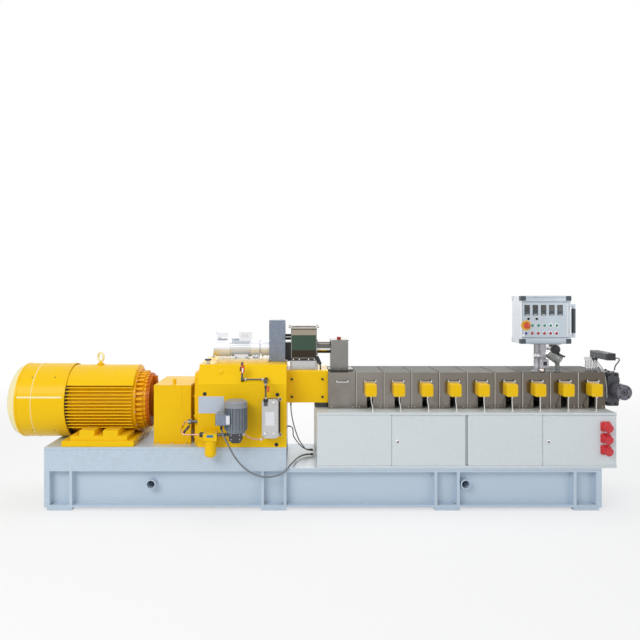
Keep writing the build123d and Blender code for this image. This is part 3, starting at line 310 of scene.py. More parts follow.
def paintedMetal(name, s):
    material, tree, shader = newMaterial(name)
    drift = toneNode(tree, s, 0.9, 0.5)
    wear = effectNode(tree, "edgeWear", {"Amount": s.get("wear", 0.4), "Scale": 40.0})
    dust = effectNode(tree, "shopDust", {"Amount": s.get("dust", 0.15), "Scale": 7.0})
    gloss = glossNode(tree, s, 3.0)
    grain = effectNode(tree, "surfaceGrain", {"Scale": s.get("grainScale", 420.0), "Roughness": 0.5})
    worn = mixColors(tree, wear.outputs["Mask"], drift.outputs["Color"], s.get("wornColor", (0.5, 0.5, 0.5)))
    dusty = mixColors(tree, dust.outputs["Mask"], worn, s.get("dustColor", (0.55, 0.53, 0.5)))
    for axis, place, color in s.get("bands", ()):
        # another tone beyond a plane: a motor's hood, the riser's top as a painted highlight, the rim of the end
        # shield as painted shade
        dusty = mixColors(tree, beyondPlane(tree, axis, place), dusty, color)
    tree.links.new(dusty, shader.inputs["Base Color"])
    join(tree, gloss, "Value", shader, "Roughness")
    bumpFrom(tree, shader, grain.outputs["Height"], s.get("grainStrength", 0.05), 0.0004)
    shader.inputs["Coat Weight"].default_value = s.get("coat", 0.0)
    shader.inputs["Coat Roughness"].default_value = 0.12
    shader.inputs["Specular IOR Level"].default_value = s.get("specular", 0.5)
    return material


def bareMetal(name, s):
    material, tree, shader = newMaterial(name)
    drift = toneNode(tree, s, 3.0, 0.6)
    lines = effectNode(tree, "brushLines", {"Stretch": s["stretch"], "Depth": 1.0})
    gloss = glossNode(tree, s, 8.0)
    streaks = rangeNode(tree, (lines, "Value"), 0.3, 0.7, -0.05, 0.05)
    rough = mathNode(tree, "ADD", (gloss, "Value"), (streaks, "Result"), clamp=True)
    dust = effectNode(tree, "shopDust", {"Amount": s.get("dust", 0.08), "Scale": 9.0})
    color = drift.outputs["Color"]
    # tint: brown painted shade, stronger low down and towards the die
    if "tint" in s:
        tint = effectNode(tree, "paintedShadeTint", {"Start": 0.45})
        color = mixColors(tree, tint.outputs["Mask"], color, s["tint"])
    # bands by height: painted reflections on the hopper and the screw tube
    for axis, place, other in s.get("bands", ()):
        color = mixColors(tree, beyondPlane(tree, axis, place), color, other)
    if "second" in s:
        # another tone before a plane: bright handle in front of a cover, pale cheek of a box
        axis, place, other = s["second"]
        color = mixColors(tree, beyondPlane(tree, axis, place), other, color)
    dusty = mixColors(tree, dust.outputs["Mask"], color, (0.4, 0.39, 0.37))
    tree.links.new(dusty, shader.inputs["Base Color"])
    join(tree, rough, 0, shader, "Roughness")
    shader.inputs["Metallic"].default_value = s.get("metallic", 1.0)
    shader.inputs["Specular Tint"].default_value = rgba(s.get("edgeTint", (1.0, 1.0, 1.0)))
    bumpFrom(tree, shader, lines.outputs["Height"], s.get("lineStrength", 0.08), 0.0004)
    return material


def mouldedPlastic(name, s):
    material, tree, shader = newMaterial(name)
    drift = toneNode(tree, s, 12.0, 0.5)
    gloss = glossNode(tree, s, 20.0)
    grain = effectNode(tree, "surfaceGrain", {"Scale": 900.0, "Roughness": 0.5})
    join(tree, drift, "Color", shader, "Base Color")
    join(tree, gloss, "Value", shader, "Roughness")
    bumpFrom(tree, shader, grain.outputs["Height"], s.get("grainStrength", 0.1), 0.0003)
    shader.inputs["Coat Weight"].default_value = s.get("coat", 0.0)
    return material


yellow = {
    "color": (0.93, 0.58, 0.002), "shade": (0.89, 0.52, 0.002), "gloss": (0.26, 0.38), "coat": 0.02,
    "specular": 0.16, "wornColor": (0.72, 0.4, 0.02), "wear": 0.08, "dust": 0.08, "grainScale": 260.0,
    "grainStrength": 0.07}
finishes = {
    "base_grey": paintedMetal("basePaleBlueGrey", {
        "color": (0.545, 0.645, 0.745), "shade": (0.50, 0.60, 0.715), "gloss": (0.3, 0.4), "coat": 0.15,
        "wornColor": (0.34, 0.4, 0.46), "wear": 0.2, "dust": 0.12, "dustColor": (0.52, 0.56, 0.6),
        "patchShare": 0.25, "grainStrength": 0.02}),
    "machine_yellow": paintedMetal("machineYellowEnamel", yellow),
    "cabinet_white": paintedMetal("cabinetPowderWhite", {
        "color": (0.69, 0.745, 0.765), "shade": (0.66, 0.72, 0.74), "gloss": (0.36, 0.46), "coat": 0.1,
        "wornColor": (0.5, 0.52, 0.54), "wear": 0.2, "dust": 0.07, "patchShare": 0.3, "grainScale": 520.0,
        "grainStrength": 0.03}),
    # its tint is painted shade: the covers darken to brown low down and towards the die
    "stainless": bareMetal("polishedStainless", {
        "color": (0.32, 0.295, 0.265), "shade": (0.22, 0.2, 0.18), "gloss": (0.13, 0.24),
        "tint": (0.105, 0.087, 0.068), "stretch": (5.0, 5.0, 420.0), "patchScale": 2.4,
        "edgeTint": (0.35, 0.33, 0.3),
        "second": ("Y", coverFrontY - 0.003, (0.75, 0.75, 0.75))}),
    "bright_steel": bareMetal("machinedSteel", {
        "color": (0.62, 0.62, 0.62), "shade": (0.46, 0.46, 0.47), "gloss": (0.2, 0.36),
        "stretch": (260.0, 260.0, 260.0)}),
    "aluminium": bareMetal("brushedAluminium", {
        "color": (0.60, 0.63, 0.65), "shade": (0.50, 0.53, 0.56), "gloss": (0.3, 0.42),
        "stretch": (8.0, 400.0, 400.0), "metallic": 0.85}),
    "slate_paint": paintedMetal("slateHammerPaint", {
        "color": (0.21, 0.25, 0.335), "shade": (0.17, 0.205, 0.28), "gloss": (0.3, 0.44),
        "wornColor": (0.4, 0.42, 0.45), "wear": 0.4, "dust": 0.15, "grainScale": 200.0,
        "grainStrength": 0.12}),
    "dark_steel": bareMetal("oiledBlackSteel", {
        "color": (0.085, 0.087, 0.097), "shade": (0.045, 0.046, 0.052), "gloss": (0.34, 0.5), "metallic": 0.6,
        "stretch": (120.0, 120.0, 120.0), "dust": 0.1}),
    "copper": bareMetal("drawnCopper", {
        "color": (0.62, 0.36, 0.29), "shade": (0.5, 0.27, 0.21), "gloss": (0.18, 0.32),
        "stretch": (90.0, 90.0, 90.0)}),
    "socket_red": mouldedPlastic("socketRed", {
        "color": (0.66, 0.018, 0.03), "shade": (0.55, 0.012, 0.02), "gloss": (0.22, 0.34), "coat": 0.2}),
    "white_cable": mouldedPlastic("whiteSleeve", {
        "color": (0.74, 0.74, 0.72), "shade": (0.62, 0.62, 0.6), "gloss": (0.4, 0.55)}),
    "grey_cable": mouldedPlastic("greySheath", {
        "color": (0.22, 0.24, 0.26), "shade": (0.16, 0.175, 0.19), "gloss": (0.36, 0.5)}),
    "control_plastic": mouldedPlastic("instrumentBlack", {
        "color": (0.03, 0.035, 0.04), "shade": (0.02, 0.023, 0.027), "gloss": (0.22, 0.36)}),
}
# finishes that only some pieces wear
boxLow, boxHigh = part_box("control_box")
pumpHoodZ = highOf("oil_pump_motor").z - 0.06
finishes.update({
    "pumpMotorPaint": paintedMetal("pumpMotorSlate", {
        "color": (0.19, 0.22, 0.25), "shade": (0.145, 0.17, 0.2), "gloss": (0.28, 0.4), "dust": 0.05,
        "bands": [("Z", pumpHoodZ, (0.27, 0.28, 0.3))], "grainStrength": 0.1}),
    "coverEdge": bareMetal("coverEdgeBright", {
        "color": (0.47, 0.44, 0.39), "shade": (0.36, 0.33, 0.29), "gloss": (0.22, 0.34),
        "stretch": (5.0, 5.0, 300.0)}),
    # the hopper's bands by height are painted reflections: dark brown low, dark green, beige, then pale at the
    # flange
    "satinSteel": bareMetal("satinHopperSteel", {
        "color": (0.42, 0.42, 0.4), "shade": (0.26, 0.26, 0.25), "gloss": (0.22, 0.36),
        "stretch": (300.0, 300.0, 6.0), "edgeTint": (0.4, 0.38, 0.35),
        "bands": [("Z", 1.296, (0.05, 0.04, 0.028)), ("Z", 1.366, (0.062, 0.098, 0.072)),
                  ("Z", 1.504, (0.36, 0.31, 0.25)), ("Z", 1.566, (0.55, 0.54, 0.52))]}),
    # the screw tube's bands are painted reflections: dark brown underneath, a white highlight band, dark grey on
    # top
    "polishedTube": bareMetal("polishedTube", {
        "color": (0.13, 0.1, 0.065), "shade": (0.07, 0.055, 0.035), "gloss": (0.14, 0.26),
        "stretch": (6.0, 300.0, 300.0), "edgeTint": (0.4, 0.38, 0.35),
        "bands": [("Z", 1.352, (0.86, 0.86, 0.84)), ("Z", 1.376, (0.15, 0.14, 0.13))]}),
    # cover tops: dark, with long streaks as painted reflections
    "polishedTop": bareMetal("polishedTop", {
        "color": (0.19, 0.188, 0.18), "shade": (0.1, 0.098, 0.09), "gloss": (0.1, 0.24), "patchScale": 2.4,
        "patchShare": 0.8, "stretch": (5.0, 300.0, 5.0), "edgeTint": (0.3, 0.3, 0.29)}),
    "darkPipe": bareMetal("darkPipeSteel", {
        "color": (0.15, 0.15, 0.155), "shade": (0.07, 0.07, 0.075), "gloss": (0.2, 0.34),
        "stretch": (200.0, 200.0, 200.0), "edgeTint": (0.6, 0.6, 0.6)}),
    # the riser's pale top is a painted highlight
    "gearboxYellow": paintedMetal("gearboxYellow", {**yellow, "bands": [("Z", 1.259, (0.88, 0.74, 0.45))]}),
    # end shield: deeper orange and a dark red inner rim, painted shade
    "shieldPaintedShade": paintedMetal("shieldPaintedShade", {
        **yellow, "color": (0.9, 0.47, 0.003), "shade": (0.78, 0.34, 0.003),
        "bands": [("X", shieldX + 0.1, (0.6, 0.16, 0.006))]}),
    # pale yellow: painted highlight on the cowl's bead and seam strips and on the fan cover
    "paleYellow": paintedMetal("paleFanYellow", {
        "color": (0.95, 0.86, 0.5), "shade": (0.93, 0.78, 0.33), "gloss": (0.26, 0.38), "specular": 0.3,
        "wear": 0.05, "dust": 0.04}),
    "cylinderGrey": paintedMetal("cylinderLilacGrey", {
        "color": (0.125, 0.12, 0.15), "shade": (0.09, 0.085, 0.11), "gloss": (0.3, 0.42), "dust": 0.05}),
    "pipeSteel": bareMetal("pipeSteel", {
        "color": (0.27, 0.265, 0.25), "shade": (0.2, 0.195, 0.18), "gloss": (0.22, 0.36),
        "stretch": (300.0, 300.0, 6.0), "edgeTint": (0.6, 0.58, 0.55)}),
    "darkHopper": bareMetal("darkHopperBand", {
        "color": (0.05, 0.045, 0.035), "shade": (0.03, 0.03, 0.024), "gloss": (0.3, 0.42), "metallic": 0.6,
        "stretch": (8.0, 8.0, 300.0)}),
    "castAluminium": bareMetal("castAluminium", {
        "color": (0.84, 0.85, 0.9), "shade": (0.74, 0.75, 0.8), "gloss": (0.3, 0.42), "metallic": 0.7,
        "stretch": (180.0, 180.0, 180.0)}),
    "panelSheet": bareMetal("panelSheet", {
        "color": (0.44, 0.49, 0.54), "shade": (0.39, 0.44, 0.49), "gloss": (0.3, 0.42), "metallic": 0.8,
        "stretch": (400.0, 8.0, 8.0), "edgeTint": (0.7, 0.74, 0.78),
        "second": ("X", boxLow.x + 0.0095, (0.78, 0.80, 0.83))}),
    "litRed": mouldedPlastic("litRedDigit", {
        "color": (0.3, 0.12, 0.1), "shade": (0.25, 0.1, 0.08), "gloss": (0.4, 0.5)}),
    "litGreen": mouldedPlastic("litGreenDigit", {
        "color": (0.12, 0.26, 0.2), "shade": (0.1, 0.22, 0.17), "gloss": (0.4, 0.5)}),
    "copperPale": bareMetal("paleBronze", {
        "color": (0.78, 0.66, 0.62), "shade": (0.66, 0.54, 0.5), "gloss": (0.14, 0.26),
        "stretch": (90.0, 90.0, 90.0)}),
    "chrome": bareMetal("chromePlate", {
        "color": (0.86, 0.86, 0.87), "shade": (0.7, 0.7, 0.72), "gloss": (0.08, 0.18), "dust": 0.0,
        "stretch": (60.0, 60.0, 60.0), "lineStrength": 0.02}),
    "blackScrew": bareMetal("blackenedScrew", {
        "color": (0.035, 0.035, 0.038), "shade": (0.02, 0.02, 0.022), "gloss": (0.3, 0.45), "metallic": 0.5,
        "stretch": (200.0, 200.0, 200.0)}),
    "zincScrew": bareMetal("zincScrew", {
        "color": (0.62, 0.62, 0.6), "shade": (0.48, 0.47, 0.44), "gloss": (0.24, 0.4),
        "stretch": (300.0, 300.0, 300.0)}),
    "bareCard": bareMetal("bareNamePlate", {
        "color": (0.52, 0.58, 0.66), "shade": (0.46, 0.52, 0.6), "gloss": (0.3, 0.42), "metallic": 0.5,
        "stretch": (6.0, 6.0, 300.0)}),
    "whiteCard": mouldedPlastic("bareWhiteCard", {
        "color": (0.78, 0.8, 0.82), "shade": (0.72, 0.74, 0.77), "gloss": (0.35, 0.5)}),
    "blueCard": mouldedPlastic("bareBlueCard", {
        "color": (0.04, 0.2, 0.36), "shade": (0.03, 0.15, 0.28), "gloss": (0.3, 0.45)}),
    "blackRubber": mouldedPlastic("blackRubber", {
        "color": (0.016, 0.016, 0.018), "shade": (0.01, 0.01, 0.012), "gloss": (0.5, 0.65)}),
    "slateCorner": mouldedPlastic("slateCornerCap", {
        "color": (0.055, 0.075, 0.09), "shade": (0.04, 0.055, 0.068), "gloss": (0.32, 0.46)}),
    "displayGlass": mouldedPlastic("displayGlass", {
        "color": (0.016, 0.028, 0.03), "shade": (0.010, 0.016, 0.018), "gloss": (0.06, 0.14), "coat": 0.5,
        "grainStrength": 0.01}),
    "displayFrame": mouldedPlastic("displayFrame", {
        "color": (0.055, 0.075, 0.08), "shade": (0.04, 0.055, 0.06), "gloss": (0.3, 0.4)}),
    "greenCap": mouldedPlastic("greenCap", {
        "color": (0.01, 0.24, 0.13), "shade": (0.006, 0.18, 0.1), "gloss": (0.12, 0.22), "coat": 0.5}),
    "redCap": mouldedPlastic("redCap", {
        "color": (0.36, 0.008, 0.04), "shade": (0.26, 0.005, 0.028), "gloss": (0.12, 0.22), "coat": 0.5}),
    "blueCap": mouldedPlastic("blueCap", {
        "color": (0.02, 0.06, 0.3), "shade": (0.014, 0.04, 0.22), "gloss": (0.12, 0.22), "coat": 0.5}),
    "stopRed": mouldedPlastic("stopButtonRed", {
        "color": (0.62, 0.06, 0.008), "shade": (0.5, 0.035, 0.006), "gloss": (0.2, 0.3), "coat": 0.4}),
    "stopYellow": mouldedPlastic("stopDiscYellow", {
        "color": (0.85, 0.5, 0.06), "shade": (0.78, 0.42, 0.04), "gloss": (0.3, 0.4)}),
    "orangeKnob": mouldedPlastic("orangeKnob", {
        "color": (0.7, 0.12, 0.01), "shade": (0.55, 0.085, 0.008), "gloss": (0.22, 0.34)}),
    "redKnob": mouldedPlastic("redKnob", {
        "color": (0.5, 0.02, 0.02), "shade": (0.38, 0.012, 0.014), "gloss": (0.2, 0.32)}),
    "darkPrimer": paintedMetal("darkBrownPrimer", {
        "color": (0.035, 0.02, 0.016), "shade": (0.022, 0.012, 0.01), "gloss": (0.4, 0.55), "wear": 0.2}),
    "boxSide": mouldedPlastic("boxSideWhite", {
        "color": (0.74, 0.75, 0.77), "shade": (0.66, 0.67, 0.7), "gloss": (0.3, 0.42)}),
    # vent and control arm: strong light and dark patches as painted reflections of their chrome
    "greenGrey": paintedMetal("greenGreyPaintedReflection", {
        "color": (0.36, 0.38, 0.36), "shade": (0.035, 0.04, 0.037), "gloss": (0.16, 0.3), "coat": 0.4,
        "patchScale": 13.0, "patchShare": 0.95}),
    "lilacGrey": paintedMetal("lilacGreyPaintedReflection", {
        "color": (0.64, 0.63, 0.68), "shade": (0.15, 0.145, 0.18), "gloss": (0.16, 0.3), "coat": 0.4,
        "patchScale": 11.0, "patchShare": 0.95}),
})
print("finishes ready:", len(finishes))


def makeCord(name, s):
    # one open NURBS spline along the route's points; order and end knots come after its points
    data = bpy.data.curves.new(name, "CURVE")
    data.dimensions = "3D"
    spline = data.splines.new("NURBS")
    spline.points.add(len(s["points"]) - 1)
    for point, place in zip(spline.points, s["points"]):
        point.co = (*place, 1)
    spline.order_u = 3
    spline.use_endpoint_u = True
    spline.resolution_u = 6
    data.bevel_depth = s["diameter"] / 2
    data.bevel_resolution = 3
    data.use_fill_caps = True
    data.materials.append(finishes[s["finish"]])
    piece = newObject(name, data)
    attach(piece, "machine")
    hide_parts(s["node"])
    s["finish"]
    s["points"][0]
    s["length"]
    s["diameter"]
    return piece


cordSettings = {
    "pumpCable": {
        "node": "pump_cable", "diameter": 0.016, "length": 1.406, "finish": "grey_cable",
        "points": [(-0.8055, -0.485, 0.767), (-0.8055, -0.485, 0.722), (-0.7715, -0.483, 0.655),
                   (-0.7375, -0.475, 0.58), (-0.6885, -0.449, 0.478), (-0.6115, -0.413, 0.382),
                   (-0.5215, -0.39, 0.322), (-0.4165, -0.375, 0.297), (-0.3265, -0.365, 0.314),
                   (-0.2715, -0.361, 0.345), (-0.2295, -0.347, 0.392), (-0.2035, -0.277, 0.402),
                   (-0.1895, -0.187, 0.39), (-0.1735, -0.097, 0.386), (-0.1365, -0.007, 0.388),
                   (-0.0975, 0.058, 0.385), (-0.0535, 0.083, 0.385), (-0.0025, 0.083, 0.385)]},
    "lanternCable": {
        "node": "sensor_cables", "diameter": 0.01, "length": 0.62, "finish": "grey_cable",
        "points": [(-0.2195, -0.082, 0.888), (-0.2195, -0.082, 0.838), (-0.2095, -0.069, 0.76),
                   (-0.1945, -0.049, 0.69), (-0.1725, -0.027, 0.612), (-0.1485, -0.003, 0.54),
                   (-0.1085, 0.023, 0.478), (-0.0845, 0.065, 0.436), (-0.0605, 0.101, 0.418),
                   (-0.0345, 0.123, 0.41), (-0.0025, 0.123, 0.41)]},
    "gearboxCable": {
        "node": "sensor_cables", "diameter": 0.01, "length": 0.462, "finish": "grey_cable",
        "points": [(-0.2445, -0.037, 0.671), (-0.2205, -0.037, 0.671), (-0.2035, -0.027, 0.652),
                   (-0.1985, -0.005, 0.614), (-0.2005, 0.035, 0.572), (-0.1805, 0.069, 0.528),
                   (-0.1405, 0.093, 0.472), (-0.0965, 0.113, 0.43), (-0.0625, 0.147, 0.413),
                   (-0.0345, 0.168, 0.41), (-0.0025, 0.168, 0.41)]},
    "dieCableLeft": {
        "node": "die_heater_cables", "diameter": 0.011, "length": 0.385, "finish": "white_cable",
        "points": [(2.5755, 0.003, 1.287), (2.5755, 0.003, 1.261), (2.603, -0.015, 1.229),
                   (2.6285, -0.041, 1.185), (2.6305, -0.071, 1.109), (2.6305, -0.094, 1.021),
                   (2.6305, -0.094, 0.935)]},
    "dieCableRight": {
        "node": "die_heater_cables", "diameter": 0.011, "length": 0.381, "finish": "white_cable",
        "points": [(2.6015, 0.003, 1.287), (2.6015, 0.003, 1.261), (2.625, -0.015, 1.229),
                   (2.6465, -0.041, 1.185), (2.6485, -0.071, 1.109), (2.6485, -0.094, 1.021),
                   (2.6485, -0.094, 0.935)]},
    "dieHose": {
        "node": "die_hose", "diameter": 0.012, "length": 0.29, "finish": "grey_cable", "stiffness": "stiff",
        "points": [(2.6515, -0.247, 1.317), (2.6785, -0.247, 1.317), (2.7005, -0.225, 1.301),
                   (2.7115, -0.172, 1.269), (2.7215, -0.119, 1.245), (2.7315, -0.079, 1.223),
                   (2.7365, -0.059, 1.199), (2.7365, -0.059, 1.167)]},
}
# nine cables from the terminal boxes down to the cabinet's top, each leaning a little more to the left
boxCentres = [coversX + coverPitch * (number + 1.5) for number in range(9)]
cableFeet = [(centreX + 0.012 - 0.004 * number, -0.267, 0.85) for number, centreX in enumerate(boxCentres)]
boxGlandY = -0.232
for number, (centreX, foot) in enumerate(zip(boxCentres, cableFeet)):
    cordSettings[f"heaterCable_{number + 1}"] = {
        "node": "heater_cables", "diameter": 0.009, "length": 0.122, "finish": "white_cable",
        "points": [(centreX, boxGlandY, 0.9615), (centreX, boxGlandY, 0.9325), (foot[0], foot[1], 0.885), foot]}
for name, s in cordSettings.items():
    makeCord(name, s)
print("cords laid:", len(cordSettings))


def makeCleanShell():
    # joins the frame's split corners and drops its stored normals
    tree = bpy.data.node_groups.new("cleanShell", "GeometryNodeTree")
    tree.interface.new_socket("Geometry", in_out="INPUT", socket_type="NodeSocketGeometry")
    tree.interface.new_socket("Geometry", in_out="OUTPUT", socket_type="NodeSocketGeometry")
    start, end = tree.nodes.new("NodeGroupInput"), tree.nodes.new("NodeGroupOutput")
    drop = tree.nodes.new("GeometryNodeRemoveAttribute")
    drop.inputs["Name"].default_value = "custom_normal"
    merge = tree.nodes.new("GeometryNodeMergeByDistance")
    merge.inputs["Distance"].default_value = 0.00001
    join(tree, start, 0, drop, "Geometry")
    join(tree, drop, 0, merge, "Geometry")
    join(tree, merge, 0, end, 0)
    return tree


def makeSmoothByAngle():
    tree = bpy.data.node_groups.new("smoothByAngle", "GeometryNodeTree")
    tree.interface.new_socket("Geometry", in_out="INPUT", socket_type="NodeSocketGeometry")
    tree.interface.new_socket("Angle", in_out="INPUT", socket_type="NodeSocketFloat")
    tree.interface.new_socket("Geometry", in_out="OUTPUT", socket_type="NodeSocketGeometry")
    start, end = tree.nodes.new("NodeGroupInput"), tree.nodes.new("NodeGroupOutput")
    faces = tree.nodes.new("GeometryNodeSetShadeSmooth")
    edges = tree.nodes.new("GeometryNodeSetShadeSmooth")
    edges.domain = "EDGE"
    angle = tree.nodes.new("GeometryNodeInputMeshEdgeAngle")
    below = tree.nodes.new("FunctionNodeCompare")
    below.operation = "LESS_EQUAL"
    join(tree, start, "Geometry", faces, "Geometry")
    join(tree, angle, "Unsigned Angle", below, 0)
    join(tree, start, "Angle", below, 1)
    join(tree, faces, 0, edges, "Geometry")
    join(tree, below, 0, edges, "Shade Smooth")
    join(tree, edges, 0, end, 0)
    return tree


cleanShell, smoothByAngle = makeCleanShell(), makeSmoothByAngle()


def roundEdges(obj, width, angle=38.0, segments=2, fromFrame=False):
    if fromFrame:
        clean = obj.modifiers.new("cleanShell", "NODES")
        clean.node_group = cleanShell
        flat = obj.modifiers.new("flatFaces", "DECIMATE")
        flat.decimate_type = "DISSOLVE"
        flat.angle_limit = math.radians(0.3)
    if width:
        bevel = obj.modifiers.new("roundedEdges", "BEVEL")
        bevel.width = width
        bevel.segments = segments
        bevel.limit_method = "ANGLE"
        bevel.angle_limit = math.radians(angle)
        bevel.use_clamp_overlap = True
    smooth = obj.modifiers.new("smoothByAngle", "NODES")
    smooth.node_group = smoothByAngle
    smooth["Socket_1"] = math.radians(angle)
    normals = obj.modifiers.new("faceNormals", "WEIGHTED_NORMAL")
    normals.keep_sharp = True


edgeWidths = {
    "raised_side_beams": 0.003, "low_side_beams": 0.003, "deck_plates": 0.003, "foot_plates": 0.002,
    "motor_foot_plate": 0.003, "gearbox_housing": 0.005, "motor_frame": 0.0018, "oil_pump": 0.003,
    "oil_pump_motor": 0.0015, "barrel_covers": 0.0012, "feed_cover": 0.0012, "heater_terminal_boxes": 0.002,
    "cabinet_plates": 0.002, "feeder_drive_guard": 0.0015, "feeder_hopper": 0.001, "control_box": 0.002,
    "die_block": 0.004, "die_cylinder": 0.002, "die_junction_box": 0.003, "lantern_housing": 0.003,
    "feeder_motor": 0.002, "motor_end_shield": 0.002, "coupling_guard": 0.0012, "oil_cooler": 0.002,
}
roundForms = {"cable_glands": 50, "die_fittings": 50, "door_pivots": 50, "gearbox_fittings": 40,
              "oil_pipes": 40, "heater_terminal_boxes": 50, "die_junction_box": 50, "control_buttons": 40,
              "motor_end_shield": 30, "gearbox_housing": 30, "feeder_down_pipe": 40, "copper_pipes": 50}
# the fan cover's pale yellow is a painted highlight
nodeFinishes = {"oil_pump_motor": "pumpMotorPaint", "feeder_down_pipe": "pipeSteel",
                "feeder_hopper": "satinSteel", "feeder_screw_tube": "polishedTube", "oil_cooler": "bright_steel",
                "motor_fan_cover": "paleYellow", "gearbox_housing": "gearboxYellow",
                "motor_end_shield": "shieldPaintedShade", "oil_pipes": "darkPipe", "die_cylinder": "cylinderGrey",
                "control_arm": "lilacGrey", "vent_stack": "greenGrey", "feeder_bearings": "blackScrew",
                "feeder_motor": "castAluminium", "control_box": "panelSheet"}
for part in frame["record"]["subparts"]:
    node = nodes[part["node"]]
    finish = finishes[nodeFinishes.get(part["node"], part["material_slot"])]
    if node.material_slots:
        for materialSlot in node.material_slots:
            materialSlot.material = finish
    else:
        node.data.materials.append(finish)
    roundEdges(node, edgeWidths.get(part["node"], 0.001), roundForms.get(part["node"], 38), fromFrame=True)
print("frame nodes dressed")


def settle(shape, verts, centre, way, turn=0.0):
    # moves a form drawn on the floor plan so that its upright looks along the given way
    axes = Vector(way).to_track_quat("Z", "Y").to_matrix().to_4x4()
    spot = Matrix.Translation(Vector(centre)) @ axes @ Matrix.Rotation(turn, 4, "Z")
    bmesh.ops.transform(shape, matrix=spot, verts=verts)


def addRings(shape, rings, closed=False):
    loops = [[shape.verts.new(point) for point in ring] for ring in rings]
    pairs = list(zip(loops, loops[1:])) + ([(loops[-1], loops[0])] if closed else [])
    for low, high in pairs:
        for first in range(len(low)):
            second = (first + 1) % len(low)
            shape.faces.new((low[first], low[second], high[second], high[first]))
    if not closed:
        shape.faces.new(loops[0][::-1])
        shape.faces.new(loops[-1])
    return [vert for loop in loops for vert in loop]


def addLathe(shape, centre, way, profile, sides=24, closed=False, turn=0.0):
    # profile: pairs of radius and height along the way
    rings = []
    for radius, height in profile:
        angles = [2 * math.pi * number / sides for number in range(sides)]
        rings.append([(radius * math.cos(a), radius * math.sin(a), height) for a in angles])
    settle(shape, addRings(shape, rings, closed), centre, way, turn)


def addRing(shape, centre, way, radius, tube, sides=40, tubeSides=8):
    angles = [2 * math.pi * number / tubeSides for number in range(tubeSides)]
    profile = [(radius + tube * math.cos(a), tube * math.sin(a)) for a in angles]
    addLathe(shape, centre, way, profile, sides, closed=True)


def roundedOutline(width, height, radius, steps=4):
    radius = max(min(radius, width / 2 - 0.0001, height / 2 - 0.0001), 0.0002)
    acrossX, acrossY = width / 2 - radius, height / 2 - radius
    points = []
    for centreX, centreY, start in ((acrossX, acrossY, 0), (-acrossX, acrossY, 90),
                                    (-acrossX, -acrossY, 180), (acrossX, -acrossY, 270)):
        for step in range(steps + 1):
            angle = math.radians(start + 90 * step / steps)
            points.append((centreX + radius * math.cos(angle), centreY + radius * math.sin(angle)))
    return points


def addPlate(shape, centre, way, width, height, thick, radius=0.002, soft=0.0006, turn=0.0):
    rings = []
    for inset, rise in ((0, 0), (0, thick - soft), (soft, thick)):
        outline = roundedOutline(width - 2 * inset, height - 2 * inset, radius - inset)
        rings.append([(x, y, rise) for x, y in outline])
    settle(shape, addRings(shape, rings), centre, way, turn)


def addFrame(shape, centre, way, width, height, rim, thick, radius=0.002, turn=0.0):
    rings = []
    for inset, rise in ((0, 0), (0, thick), (rim, thick), (rim, 0)):
        outline = roundedOutline(width - 2 * inset, height - 2 * inset, max(radius - inset, 0.0004))
        rings.append([(x, y, rise) for x, y in outline])
    settle(shape, addRings(shape, rings, closed=True), centre, way, turn)


def addBar(shape, start, end, width, height, radius=0.001):
    start, end = Vector(start), Vector(end)
    addPlate(shape, start, end - start, width, height, (end - start).length, radius, 0.0004)


def addBolt(shape, centre, way, size):
    # hexagon head on its washer
    addLathe(shape, centre, way, [(1.3 * size, 0), (1.3 * size, 0.18 * size), (1.2 * size, 0.24 * size)], 16)
    top = Vector(centre) + Vector(way).normalized() * 0.24 * size
    addLathe(shape, top, way, [(size, 0), (size, 0.62 * size), (0.84 * size, 0.74 * size)], 6)


def addCapScrew(shape, centre, way, size):
    addLathe(shape, centre, way, [(size, 0), (size, 0.95 * size), (0.88 * size, 1.1 * size),
                                  (0.56 * size, 1.1 * size), (0.5 * size, 0.6 * size)], 12)


def addPan(shape, centre, way, size):
    addLathe(shape, centre, way, [(size, 0), (size, 0.2 * size), (0.82 * size, 0.55 * size),
                                  (0.34 * size, 0.72 * size), (0.28 * size, 0.45 * size)], 14)


def addAround(adder, shape, centre, way, radius, count, size, start=0.0):
    axes = Vector(way).to_track_quat("Z", "Y").to_matrix()
    for number in range(count):
        angle = start + 2 * math.pi * number / count
        offset = axes @ Vector((radius * math.cos(angle), radius * math.sin(angle), 0))
        adder(shape, Vector(centre) + offset, way, size)


def newShapes():
    return defaultdict(bmesh.new)


def finishShapes(name, shapes, body="machine", replaced=(), width=0.0, angle=38.0):
    # one piece for each finish in a group of forms
    for finish, shape in shapes.items():
        bmesh.ops.recalc_face_normals(shape, faces=shape.faces)
        mesh = bpy.data.meshes.new(f"{name}_{finish}")
        shape.to_mesh(mesh)
        shape.free()
        mesh.materials.append(finishes[finish])
        piece = newObject(f"{name}_{finish}", mesh)
        roundEdges(piece, width, angle)
        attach(piece, body)
        if replaced:
            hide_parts(*replaced)


motorSettings = {
    "rimWidth": 0.024, "rimProud": 0.003, "beadX": -2.5335, "seamZ": 0.964, "screwXs": (-2.554, -2.35),
    "fanX": -2.63, "fanHub": 0.09, "fanReach": 0.285, "fanBlades": 9, "eyeX": -2.0066, "eyeZ": 1.291,
    "eyeTurn": 35, "eyeRadius": 0.0385, "eyeTube": 0.0115, "shadeRing": (0.3, 0.3215), "footXs": (-2.0037, -1.7972),
    "padXs": (-2.1087, -1.6925), "footThick": 0.049, "boltY": 0.383, "flangeBolts": 12,
}


